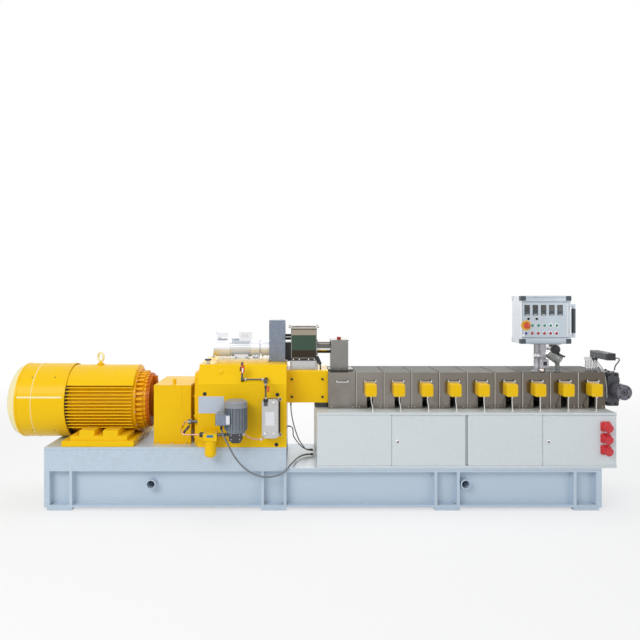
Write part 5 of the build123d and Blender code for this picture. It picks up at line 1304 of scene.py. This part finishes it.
def makeControlBoxTrim(s):
    shapes = newShapes()
    low, high = boxLow, Vector((boxLow.x + s["width"], boxHigh.y, boxHigh.z))
    slate, size, panelY = shapes["slateCorner"], s["corner"], s["panelY"]
    wide, tall, middleX, middleZ = high.x - low.x, high.z - low.z, (low.x + high.x) / 2, (low.z + high.z) / 2
    # corner caps: two plates round each front corner, a pale and a slate one at the back
    for edgeX, way, inward in ((low.x, leftWay, 1), (high.x, rightWay, -1)):
        for cornerZ in (low.z + size / 2, high.z - size / 2):
            for cap, place, face in ((slate, (edgeX + inward * size / 2, low.y), front),
                                     (slate, (edgeX, low.y + size / 2 - 0.0012), way),
                                     (shapes["boxSide"], (edgeX, high.y - size / 2), way),
                                     (slate, (edgeX + inward * size / 2, high.y), back)):
                addPlate(cap, (*place, cornerZ), face, size, size - 0.001, 0.0025, 0.004)
    # shadow grooves along the rails and between the corner caps
    for grooveZ in (high.z - 0.0535, low.z + 0.0535):
        addPlate(shapes["blackRubber"], (middleX, panelY, grooveZ), front, wide - 0.02, 0.003, 0.0008, 0.0005,
                 0.0002)
    for grooveZ in (high.z - 0.016, low.z + 0.016):
        addPlate(shapes["displayFrame"], (middleX, low.y, grooveZ), front, wide - 2 * size - 0.004, 0.0022, 0.0006,
                 0.0005, 0.0002)
    # door of the box: hinges and a white strip on the right as a painted highlight, quarter turn latch low on the
    # left
    doorX = high.x - 0.026
    addPlate(shapes["panelSheet"], ((low.x + doorX) / 2 + 0.006, panelY, middleZ), front, doorX - low.x - 0.02,
             tall - 0.114, 0.0018, 0.004)
    addPlate(shapes["whiteCard"], (high.x - 0.03, panelY - 0.0018, middleZ), front, 0.014, tall - 0.13, 0.0022,
             0.002)
    for hingeZ in (low.z + 0.11, high.z - 0.11):
        hinge = Vector((high.x - 0.0085, panelY - 0.003, hingeZ))
        addBar(shapes["chrome"], hinge + down * 0.022, hinge + up * 0.022, 0.008, 0.008, 0.0038)
    latch = Vector((low.x + 0.021, panelY - 0.0018, low.z + 0.075))
    addLathe(shapes["chrome"], latch, front, [(0.0115, 0), (0.0115, 0.003), (0.009, 0.0045)], 24)
    addPlate(shapes["chrome"], latch + front * 0.0045, front, 0.005, 0.018, 0.002, 0.002, 0.0005, 0.6)
    # lock nuts of the glands in the side wall
    for wallY, wallZ in s["wallSpots"]:
        addLathe(slate, (low.x + 0.008, wallY, wallZ), leftWay,
                 [(0.012, 0), (0.012, 0.004), (0.0085, 0.0055), (0.0085, 0.007)], 6)
    # dark sleeve of the grip on the right
    sleeve = tall - 0.204
    addLathe(slate, (boxHigh.x - 0.012, (low.y + high.y) / 2, low.z + 0.088), up,
             [(0.017, 0), (0.0185, 0.003), (0.0185, sleeve - 0.003), (0.017, sleeve)], 24)
    finishShapes("controlBoxTrim", shapes)


makeControlPanel(panelSettings)
makeControlBoxTrim({"width": 0.445, "corner": 0.044, "panelY": boxLow.y + 0.008,
                    "wallSpots": ((-0.17, 1.79), (-0.185, 1.50), (-0.06, 1.50))})

armSettings = {
    "blockLow": (2.0345, -0.117, 1.211), "blockHigh": (2.1135, -0.043, 1.292), "armY": -0.077,
    "columnX": 2.0145, "clampZ": 1.327, "plateBoltXs": (1.985, 2.203), "plateBoltYs": (-0.125, -0.029),
    "plateZ": 1.428, "ball": (2.051, -0.112, 1.195), "drum": (2.1685, -0.077, 1.322), "drumTilt": 35,
    "knuckleX": 2.1705, "knuckleZ": 1.3807, "link": ((2.2, -0.137, 1.3395), (2.252, -0.137, 1.3165)),
    "casting": (2.1035, -0.112, 1.1965), "ventX": 2.2065,
}


def makeArmTrim(s):
    shapes = newShapes()
    low, high = Vector(s["blockLow"]), Vector(s["blockHigh"])
    middleX = (low.x + high.x) / 2
    addPlate(shapes["blackScrew"], (middleX + 0.006, low.y, 1.2535), front, 0.032, 0.036, 0.003, 0.003)
    for boltX, boltZ in product((middleX - 0.03, middleX + 0.03), (low.z + 0.012, high.z - 0.012)):
        addCapScrew(shapes["chrome"], (boltX, low.y, boltZ), front, 0.005)
    # clamp ring and lever on the column
    ring = Vector((s["columnX"], s["armY"], s["clampZ"]))
    addLathe(shapes["chrome"], ring, up, [(0.022, -0.014), (0.031, -0.013), (0.033, -0.010), (0.033, 0.010),
                                          (0.031, 0.013), (0.022, 0.014)], 32, closed=True)
    lever = ring + Vector((-0.012, -0.066, 0))
    addBar(shapes["chrome"], ring + Vector((-0.005, -0.03, 0)), lever, 0.012, 0.012, 0.004)
    addLathe(shapes["chrome"], lever, leftWay, [(0.008, -0.02), (0.01, -0.018), (0.01, 0.034), (0.007, 0.038)], 16)
    # cap screws under the box's plate
    for boltX, boltY in product(s["plateBoltXs"], s["plateBoltYs"]):
        addCapScrew(shapes["zincScrew"], (boltX, boltY, s["plateZ"]), down, 0.006)
    # ball foot and the low casting beside it
    addLathe(shapes["copperPale"], s["ball"], up, [(0.009, -0.02), (0.019, -0.0165), (0.0245, -0.008),
                                                   (0.0245, 0.004), (0.02, 0.013), (0.011, 0.0165)], 28)
    addPlate(shapes["greenGrey"], s["casting"], front, 0.047, 0.035, 0.016, 0.006, 0.002)
    addBar(shapes["greenGrey"], (2.0825, -0.096, 1.1965), (2.0825, -0.06, 1.1965), 0.014, 0.03, 0.003)
    # face of the vent's drum, its cap screws and black knuckle
    tilt, black = math.radians(s["drumTilt"]), shapes["blackScrew"]
    way = Vector((math.cos(tilt), 0, -math.sin(tilt)))
    start, end = Vector(s["drum"]) - way * 0.057, Vector(s["drum"]) + way * 0.069
    addLathe(shapes["chrome"], start, -way,
             [(0.012, 0), (0.041, 0), (0.043, 0.001), (0.043, 0.003), (0.04, 0.0045), (0.012, 0.0045)], 36,
             closed=True)
    addAround(addCapScrew, black, start - way * 0.0045, -way, 0.031, 6, 0.0034)
    addAround(addCapScrew, shapes["chrome"], end, way, 0.044, 8, 0.004)
    for side, way in ((s["armY"] - 0.045, front), (s["armY"] + 0.045, back)):
        addLathe(black, (s["knuckleX"], side, s["knuckleZ"]), way,
                 [(0.04, 0), (0.04, 0.003), (0.034, 0.006), (0.012, 0.0065), (0.011, 0.003)], 36)
    addBar(black, *s["link"], 0.011, 0.014, 0.004)
    pinX, _, pinZ = s["link"][0]
    addLathe(black, (pinX, s["armY"], pinZ), front, [(0.011, 0.042), (0.011, 0.063), (0.008, 0.065)], 16)
    # flange bolts of the vent and of the column on the cover
    addAround(addCapScrew, shapes["zincScrew"], (s["ventX"], s["armY"], 1.183), up, 0.0265, 6, 0.0035)
    addAround(addCapScrew, shapes["zincScrew"], (s["columnX"], s["armY"], 1.185), up, 0.034, 6, 0.004)
    finishShapes("armTrim", shapes)


makeArmTrim(armSettings)
print("control box and arm trimmed")

feederSettings = {
    "motorX": lowOf("feeder_motor").x, "axisZ": 1.38, "radius": 0.075, "finStart": 0.165, "finEnd": 0.335,
    "finCount": 28, "footXs": (0.205, 0.305, 0.375, 0.405), "hopperFace": 0.024, "bandWidth": 0.236,
    "probe": ((0.016, -0.024, 1.31), (0.05, -0.034, 1.238)),
    "stem": ((0.05, -0.034, 1.245), (0.052, -0.034, 1.189)),
    "knobX": 0.231, "tubeBolt": (highOf("feeder_screw_tube").z - lowOf("feeder_screw_tube").z) / 2 - 0.008,
}


def makeFeederTrim(s):
    shapes = newShapes()
    alu, zinc, black = shapes["aluminium"], shapes["zincScrew"], shapes["blackScrew"]
    axis = Vector((s["motorX"], midY, s["axisZ"]))
    for number in range(s["finCount"]):
        angle = 2 * math.pi * (number + 0.5) / s["finCount"]
        out = Vector((0, math.cos(angle), math.sin(angle)))
        start = axis + out * (s["radius"] + 0.003)
        addPlate(alu, start + rightWay * (s["finStart"] + s["finEnd"]) / 2 - out * 0.004, out,
                 s["finEnd"] - s["finStart"], 0.0032, 0.0105, 0.001, 0.0005)
    for ringX, radius in ((0.0135, 0.0795), (0.152, 0.0858), (0.344, 0.0815), (0.426, 0.0815)):
        addRing(alu, axis + rightWay * ringX, rightWay, radius, 0.0016, 48, 6)
    addAround(addPan, zinc, axis, leftWay, 0.066, 4, 0.005, math.pi / 4)
    # slots of the motor's end cowl
    for number in range(5):
        addRing(black, axis - rightWay * 0.0003, leftWay, 0.014 + 0.011 * number, 0.0011, 40, 6)
    addAround(addBolt, zinc, axis + rightWay * 0.44, rightWay, 0.068, 8, 0.0045)
    # lids of the two boxes on top
    addPlate(alu, axis + Vector((0.074, 0, 0.141)), up, 0.104, 0.094, 0.003, 0.006)
    for acrossX, acrossY in product((0.03, 0.118), (-0.038, 0.038)):
        addPan(zinc, axis + Vector((acrossX, acrossY, 0.144)), up, 0.0035)
    addPlate(alu, axis + Vector((0.291, 0, 0.146)), up, 0.118, 0.104, 0.003, 0.008)
    for acrossX, acrossY in product((0.241, 0.341), (-0.043, 0.043)):
        addPan(zinc, axis + Vector((acrossX, acrossY, 0.149)), up, 0.004)
    addPlate(shapes["whiteCard"], axis + Vector((0.291, -0.05, 0.113)), front, 0.07, 0.034, 0.0008, 0.002, 0.0003)
    # feet of the motor
    floorZ = highOf("gearbox_housing").z
    for acrossX, side in product(s["footXs"], (-1, 1)):
        wide = 0.072 if acrossX < 0.35 else 0.062          # the last two pairs stand closer
        addPlate(alu, (axis.x + acrossX, midY + side * wide, floorZ), up, 0.028, 0.03, 0.007, 0.004)
        addBolt(black, (axis.x + acrossX, midY + side * (wide + 0.002), floorZ + 0.007), up, 0.006)
    # guard of the drive: flush screws, seams and the rim on its top
    low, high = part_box("feeder_drive_guard")
    middleX, wide = (low.x + high.x) / 2, high.x - low.x
    for screwX, screwZ in product((low.x + 0.011, high.x - 0.011),
                                  (low.z + 0.02, (low.z + high.z) / 2, high.z - 0.02)):
        addPan(zinc, (screwX, low.y, screwZ), front, 0.0045)
        addPan(zinc, (screwX, high.y, screwZ), back, 0.0045)
    slate = shapes["slate_paint"]
    for seamZ in (low.z + 0.006, high.z - 0.009):
        addPlate(slate, (middleX, low.y, seamZ), front, wide - 0.002, 0.005, 0.0012, 0.001)
    addFrame(slate, (middleX, midY, high.z), up, wide - 0.014, high.y - low.y - 0.002, 0.006, 0.0014, 0.003)
    # hopper: pressed bands on its front, flange bolts and studs
    low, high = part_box("feeder_hopper")
    faceY, middleX = low.y + s["hopperFace"], (low.x + high.x) / 2
    for cornerX, cornerY in product((low.x + 0.012, high.x - 0.012), (low.y + 0.012, high.y - 0.012)):
        addBolt(black, (cornerX, cornerY, high.z), up, 0.0065)
    for bandZ, tall, thick, corner in ((low.z + 0.012, 0.022, 0.003, 0.002),
                                       (high.z - 0.019, 0.006, 0.0025, 0.001)):
        addPlate(shapes["darkHopper"], (middleX, faceY, bandZ), front, s["bandWidth"], tall, thick, corner)
    for studX in (low.x + 0.045, low.x + 0.1, high.x - 0.1, high.x - 0.045):
        addLathe(shapes["chrome"], (studX, faceY - 0.003, low.z + 0.012), front,
                 [(0.006, 0), (0.006, 0.005), (0.004, 0.006)], 6)
    # bright edge strips of the hopper's front, and a level probe with its stem beside the outlet
    for edgeX in (low.x + 0.0275, high.x - 0.0275):
        addPlate(shapes["pipeSteel"], (edgeX, faceY, (1.29 + high.z) / 2), front, 0.007, high.z - 1.31, 0.0012,
                 0.001, 0.0004)
    addBar(black, *s["probe"], 0.03, 0.03, 0.008)
    addBar(shapes["darkPipe"], *s["stem"], 0.014, 0.014, 0.006)
    addAround(addBolt, zinc, (high.x - 0.014, midY, s["axisZ"]), rightWay, s["tubeBolt"], 8, 0.0045)
    # flange and lid of the down pipe, with its red knob
    low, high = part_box("feeder_down_pipe")
    for boltX, boltY in product((low.x + 0.012, low.x + 0.09, high.x - 0.02), (low.y + 0.012, high.y - 0.012)):
        addBolt(zinc, (boltX, boltY, low.z + 0.012), up, 0.0065)
    lidZ = high.z - 0.024
    addLathe(shapes["redKnob"], (s["knobX"], midY, lidZ), up,
             [(0.0188, 0), (0.0194, 0.002), (0.0194, 0.02), (0.016, 0.0245), (0.006, 0.0248)], 24)
    for screwX in (s["knobX"] - 0.0685, s["knobX"] + 0.0685):
        addPan(zinc, (screwX, low.y + 0.024, lidZ - 0.02), front, 0.004)
    finishShapes("feederTrim", shapes)


makeFeederTrim(feederSettings)
print("feeder trimmed")

dieSettings = {
    "blockLow": (2.6645, -0.077, 0.863), "blockHigh": (2.7685, 0.303, 1.167), "strands": 9, "strandPitch": 0.032,
    "strandZ": 1.0, "clampZs": (0.93, 1.085), "cylinder": (2.7525, 1.005), "boxXs": (2.5655, 2.6395),
    "boxY": -0.1085, "boxTop": 1.361, "cableXs": (2.5755, 2.6015), "fittingX": 2.5135, "fittingPitch": 0.024,
    "hoseStart": (2.639, -0.247, 1.317), "hoseEnd": (2.7365, -0.059, 1.168),
}


def makeDieTrim(s):
    shapes = newShapes()
    black, chrome = shapes["blackScrew"], shapes["chrome"]
    low, high = Vector(s["blockLow"]), Vector(s["blockHigh"])
    for boltX, boltZ in product((low.x + 0.018, high.x - 0.03), (low.z + 0.02, high.z - 0.02)):
        addCapScrew(black, (boltX, low.y, boltZ), front, 0.0095)
        addCapScrew(black, (boltX, high.y, boltZ), back, 0.0095)
    for boltY, boltX in product((low.y + 0.04, midY, high.y - 0.04), (low.x + 0.025, high.x - 0.03)):
        addCapScrew(black, (boltX, boltY, high.z), up, 0.009)
    # strand plate on the die's mouth: row of holes with their rims and clamp screws
    faceX = highOf("die_block").x
    for number in range(s["strands"]):
        strandY = midY - s["strandPitch"] * (s["strands"] - 1) / 2 + s["strandPitch"] * number
        addRing(chrome, (faceX, strandY, s["strandZ"]), rightWay, 0.0058, 0.0011, 20, 6)
        addLathe(shapes["blackRubber"], (faceX, strandY, s["strandZ"]), rightWay,
                 [(0.005, 0), (0.005, 0.0004)], 16)
    for boltY, boltZ in product((midY - 0.15, midY - 0.05, midY + 0.05, midY + 0.15), s["clampZs"]):
        addCapScrew(black, (faceX, boltY, boltZ), rightWay, 0.008)
    # cylinder: screws in the corners of its head, ring and end plug, dark bands round it
    axisX, axisZ = s["cylinder"]
    endY = lowOf("die_cylinder").y
    for acrossX, acrossZ in product((-0.037, 0.037), (-0.037, 0.037)):
        addCapScrew(black, (axisX + acrossX, endY + 0.013, axisZ + acrossZ), front, 0.0072)
    addRing(black, (axisX, endY + 0.002, axisZ), front, 0.031, 0.0018, 32, 6)
    addLathe(black, (axisX, endY + 0.002, axisZ), front, [(0.012, -0.002), (0.012, 0.0005), (0.008, 0.0018)], 6)
    for ringY in (endY + 0.028, endY + 0.098):
        addLathe(black, (axisX, ringY, axisZ), front,
                 [(0.066, -0.005), (0.0688, -0.0045), (0.0688, 0.0045), (0.066, 0.005)], 48, closed=True)
    # ports on top of the cylinder
    for portY in (endY + 0.045, endY + 0.085):
        addLathe(chrome, (axisX - 0.004, portY, axisZ + 0.066), up, [(0.0095, 0), (0.0095, 0.009), (0.006, 0.011)],
                 6)
    # junction box: plate on its front, dark left cheek, screws and seam of its lid
    (leftX, rightX), boxY, topZ, middleZ = s["boxXs"], s["boxY"], s["boxTop"], s["boxTop"] - 0.031
    middleX = (leftX + rightX) / 2
    addPlate(black, (middleX, -0.277, middleZ), front, 0.07, 0.058, 0.0016, 0.006)
    addPlate(shapes["control_plastic"], (leftX - 0.003, boxY, middleZ), leftWay, 0.3, 0.046, 0.0012, 0.004)
    for screwY, screwX in product((-0.262, 0.045), (leftX + 0.008, rightX - 0.008)):
        addPan(shapes["zincScrew"], (screwX, screwY, topZ), up, 0.004)
    addFrame(shapes["blackRubber"], (middleX, boxY, topZ - 0.008), up, 0.0752, 0.3382, 0.002, 0.002, 0.003)
    # glands and sleeves of the two cables, and the hose's two nuts
    for cableX in s["cableXs"]:
        addLathe(chrome, (cableX, 0.003, 1.3005), down,
                 [(0.0115, 0), (0.0115, 0.006), (0.0085, 0.0075), (0.0065, 0.0135)], 6)
        addLathe(shapes["blackRubber"], (cableX, 0.003, 1.287), down,
                 [(0.0075, 0), (0.0068, 0.012), (0.0058, 0.024)], 16)
    addLathe(chrome, s["hoseStart"], rightWay,
             [(0.013, 0), (0.013, 0.006), (0.010, 0.008), (0.0085, 0.0135)], 6)
    addLathe(chrome, s["hoseEnd"], up, [(0.011, 0), (0.011, 0.008), (0.0085, 0.010), (0.0072, 0.02)], 6)
    # nuts of the row of fittings behind
    for number in range(5):
        addLathe(chrome, (s["fittingX"] + s["fittingPitch"] * number, 0.026, 1.2), up,
                 [(0.0095, 0), (0.0118, 0.001), (0.0118, 0.007), (0.0095, 0.008)], 6)
    finishShapes("dieTrim", shapes)


makeDieTrim(dieSettings)
print("die head trimmed")

baseSettings = {
    "posts": (-2.3425, -0.4765, 1.0325, 2.2445), "postWidth": 0.22, "bead": 0.0045, "anchorInset": 0.035,
    "tubes": (-1.4375, 1.3055), "tubeZ": 0.225, "webRecess": 0.07, "rib": 0.024, "webLow": 0.046,
    "raisedWebTop": 0.341, "lowWebTop": 0.333,
    "runs": ((-2.1225, -0.4765, 0.341), (-0.2565, 1.0325, 0.333), (1.2525, 2.2445, 0.333)),
}


def makeBaseTrim(s):
    shapes = newShapes()
    paint, zinc = shapes["base_grey"], shapes["zincScrew"]
    recess, bead = s["webRecess"], (s["bead"] * 2, s["bead"] * 2, s["bead"])
    for faceY, side in ((frontY, -1), (backY, 1)):
        webY = faceY - side * recess
        beadY = webY + side * 0.001
        # weld beads where the ribs of each post meet the web, and under the top flange
        for post in s["posts"]:
            topZ = s["raisedWebTop"] if post < stepX else s["lowWebTop"]
            for ribX in (post, post + s["rib"], post + s["postWidth"] - s["rib"], post + s["postWidth"]):
                addBar(paint, (ribX, beadY, s["webLow"]), (ribX, beadY, topZ), *bead)
        for startX, endX, webZ in s["runs"]:
            for beadZ in (s["webLow"], webZ):
                addBar(paint, (startX, beadY, beadZ), (endX, beadY, beadZ), *bead)
        # rolled rim of each lifting tube
        for tubeX in s["tubes"]:
            addRing(paint, (tubeX, faceY - side * 0.004, s["tubeZ"]), front, 0.0395, 0.0035, 48, 8)
            addRing(paint, (tubeX, beadY, s["tubeZ"]), front, 0.0425, 0.004, 48, 6)
        # anchor bolts in the feet
        for post in s["posts"]:
            for footX in (post + s["anchorInset"], post + s["postWidth"] - s["anchorInset"]):
                addBolt(zinc, (footX, webY + side * (recess * 0.45), s["webLow"]), up, 0.0095)
    finishShapes("baseTrim", shapes)


makeBaseTrim(baseSettings)
print("base trimmed")

glandSettings = {
    # place of each entry into the cabinet, with the gland's and the cable's radius
    "entries": (((-0.0145, 0.083, 0.385), 0.013, 0.008), ((-0.0145, 0.123, 0.41), 0.010, 0.005),
                ((-0.0145, 0.168, 0.41), 0.010, 0.005)),
    "sender": (-0.037, 0.671), "pumpExit": (-0.8055, -0.485), "lanternExit": (-0.2195, -0.082),
}


def makeGlands(s):
    # zinc glands with tapered rubber sleeves where cables enter or leave a housing
    shapes = newShapes()
    zinc, rubber = shapes["zincScrew"], shapes["blackRubber"]
    for place, radius, cable in s["entries"]:
        addLathe(zinc, Vector(place) + rightWay * 0.012, leftWay,
                 [(radius, 0), (radius, 0.006), (radius * 0.82, 0.0075), (radius * 0.82, 0.012)], 6)
        addLathe(rubber, place, leftWay, [(cable * 1.5, 0), (cable * 1.35, 0.01), (cable * 1.12, 0.026)], 20)
    # gearbox sender
    addLathe(zinc, (stepX, *s["sender"]), rightWay,
             [(0.0115, 0), (0.0115, 0.007), (0.009, 0.0085), (0.009, 0.012)], 6)
    addLathe(rubber, (stepX + 0.012, *s["sender"]), rightWay, [(0.0078, 0), (0.0068, 0.009), (0.0056, 0.02)], 16)
    finishShapes("cableGlands", shapes, replaced=("cable_glands",))
    shapes = newShapes()
    rubber, zinc = shapes["blackRubber"], shapes["zincScrew"]
    addLathe(rubber, (*s["pumpExit"], 0.768), down, [(0.0122, 0), (0.0108, 0.014), (0.0088, 0.034)], 20)
    addLathe(zinc, (*s["pumpExit"], 0.785), down,
             [(0.0155, 0), (0.0155, 0.007), (0.0135, 0.009), (0.0135, 0.018)], 6)
    addLathe(rubber, (*s["lanternExit"], 0.889), down, [(0.0078, 0), (0.0068, 0.01), (0.0056, 0.024)], 16)
    addLathe(zinc, (*s["lanternExit"], 0.9), down, [(0.0125, 0), (0.0125, 0.006), (0.0115, 0.0122)], 6)
    # pale sleeves of the heater cables on the cabinet's top
    for foot in cableFeet:
        addLathe(shapes["white_cable"], foot, up,
                 [(0.011, 0), (0.011, 0.004), (0.0068, 0.01), (0.0052, 0.018)], 16)
    finishShapes("cableSleeves", shapes)


makeGlands(glandSettings)
print("glands made")

def seenRays(tree):
    # 1 where the camera, a reflection or a look through glass meets the backdrop
    rays = tree.nodes.new("ShaderNodeLightPath")
    seen = mathNode(tree, "ADD", (rays, "Is Camera Ray"), (rays, "Is Glossy Ray"), clamp=True)
    return mathNode(tree, "ADD", (seen, 0), (rays, "Is Transmission Ray"), clamp=True)


studio = {"floorSize": 80.0, "ambient": 0.5, "backdrop": 1.0, "floorGlow": 0.62, "fadeFrom": 4.2, "fadeTo": 9.0}


def makeBackdrop(s):
    world = bpy.data.worlds.new("paleStudio")
    bpy.context.scene.world = world
    world.use_nodes = True
    tree = world.node_tree
    tree.nodes.clear()
    output = tree.nodes.new("ShaderNodeOutputWorld")
    seen = seenRays(tree)
    light = tree.nodes.new("ShaderNodeBackground")
    light.inputs["Color"].default_value = (0.95, 0.97, 1.0, 1)
    light.inputs["Strength"].default_value = s["ambient"]
    white = tree.nodes.new("ShaderNodeBackground")
    white.inputs["Color"].default_value = (1, 1, 1, 1)
    white.inputs["Strength"].default_value = s["backdrop"]
    mix = tree.nodes.new("ShaderNodeMixShader")
    join(tree, seen, 0, mix, 0)
    join(tree, light, 0, mix, 1)
    join(tree, white, 0, mix, 2)
    join(tree, mix, 0, output, "Surface")


def makeFloor(s):
    # pale floor that keeps the machine's shadow and fades to the white backdrop further out
    half = s["floorSize"] / 2
    mesh = bpy.data.meshes.new("studioFloor")
    corners = [(-half, -half), (half, -half), (half, half), (-half, half)]
    mesh.from_pydata([(x, y, -0.0005) for x, y in corners], [], [(0, 1, 2, 3)])
    floor = newObject("studioFloor", mesh)
    material, tree, shader = newMaterial("paleFloor")
    shader.inputs["Base Color"].default_value = (0.88, 0.88, 0.88, 1)
    shader.inputs["Roughness"].default_value = 0.9
    shader.inputs["Specular IOR Level"].default_value = 0.1
    reach = tree.nodes.new("ShaderNodeVectorMath")
    reach.operation = "LENGTH"
    join(tree, *objectCoords(tree), reach, 0)
    fade = rangeNode(tree, (reach, "Value"), s["fadeFrom"], s["fadeTo"], s["floorGlow"], 1.0)
    glow = mathNode(tree, "MULTIPLY", (seenRays(tree), 0), (fade, "Result"))
    emission = tree.nodes.new("ShaderNodeEmission")
    mix = tree.nodes.new("ShaderNodeMixShader")
    join(tree, glow, 0, mix, 0)
    join(tree, shader, 0, mix, 1)
    join(tree, emission, 0, mix, 2)
    tree.links.new(mix.outputs[0], tree.nodes["Material Output"].inputs["Surface"])
    mesh.materials.append(material)


def areaLamp(name, s):
    data = bpy.data.lights.new(name, "AREA")
    data.shape = "RECTANGLE"
    data.size, data.size_y = s["size"]
    data.energy = s["energy"]
    lamp = newObject(name, data)
    lamp.location = s["place"]
    lamp.rotation_euler = (Vector(s["aim"]) - Vector(s["place"])).to_track_quat("-Z", "Y").to_euler()


lampSettings = {
    "windowBank": {"place": (-4.5, -6.5, 5.5), "aim": (-0.4, 0, 0.8), "size": (5.0, 3.0), "energy": 300},
    "roofLights": {"place": (0.5, 0.8, 6.5), "aim": (0.2, 0.1, 0.6), "size": (7.0, 3.0), "energy": 120},
    "hallFill": {"place": (5.5, -5.5, 2.6), "aim": (0.6, 0, 0.8), "size": (3.0, 3.0), "energy": 40},
    "backFill": {"place": (1.0, 6.5, 3.6), "aim": (0, 0, 0.9), "size": (6.0, 3.0), "energy": 130},
}
makeBackdrop(studio)
makeFloor(studio)
for name, s in lampSettings.items():
    areaLamp(name, s)
print("studio lit")
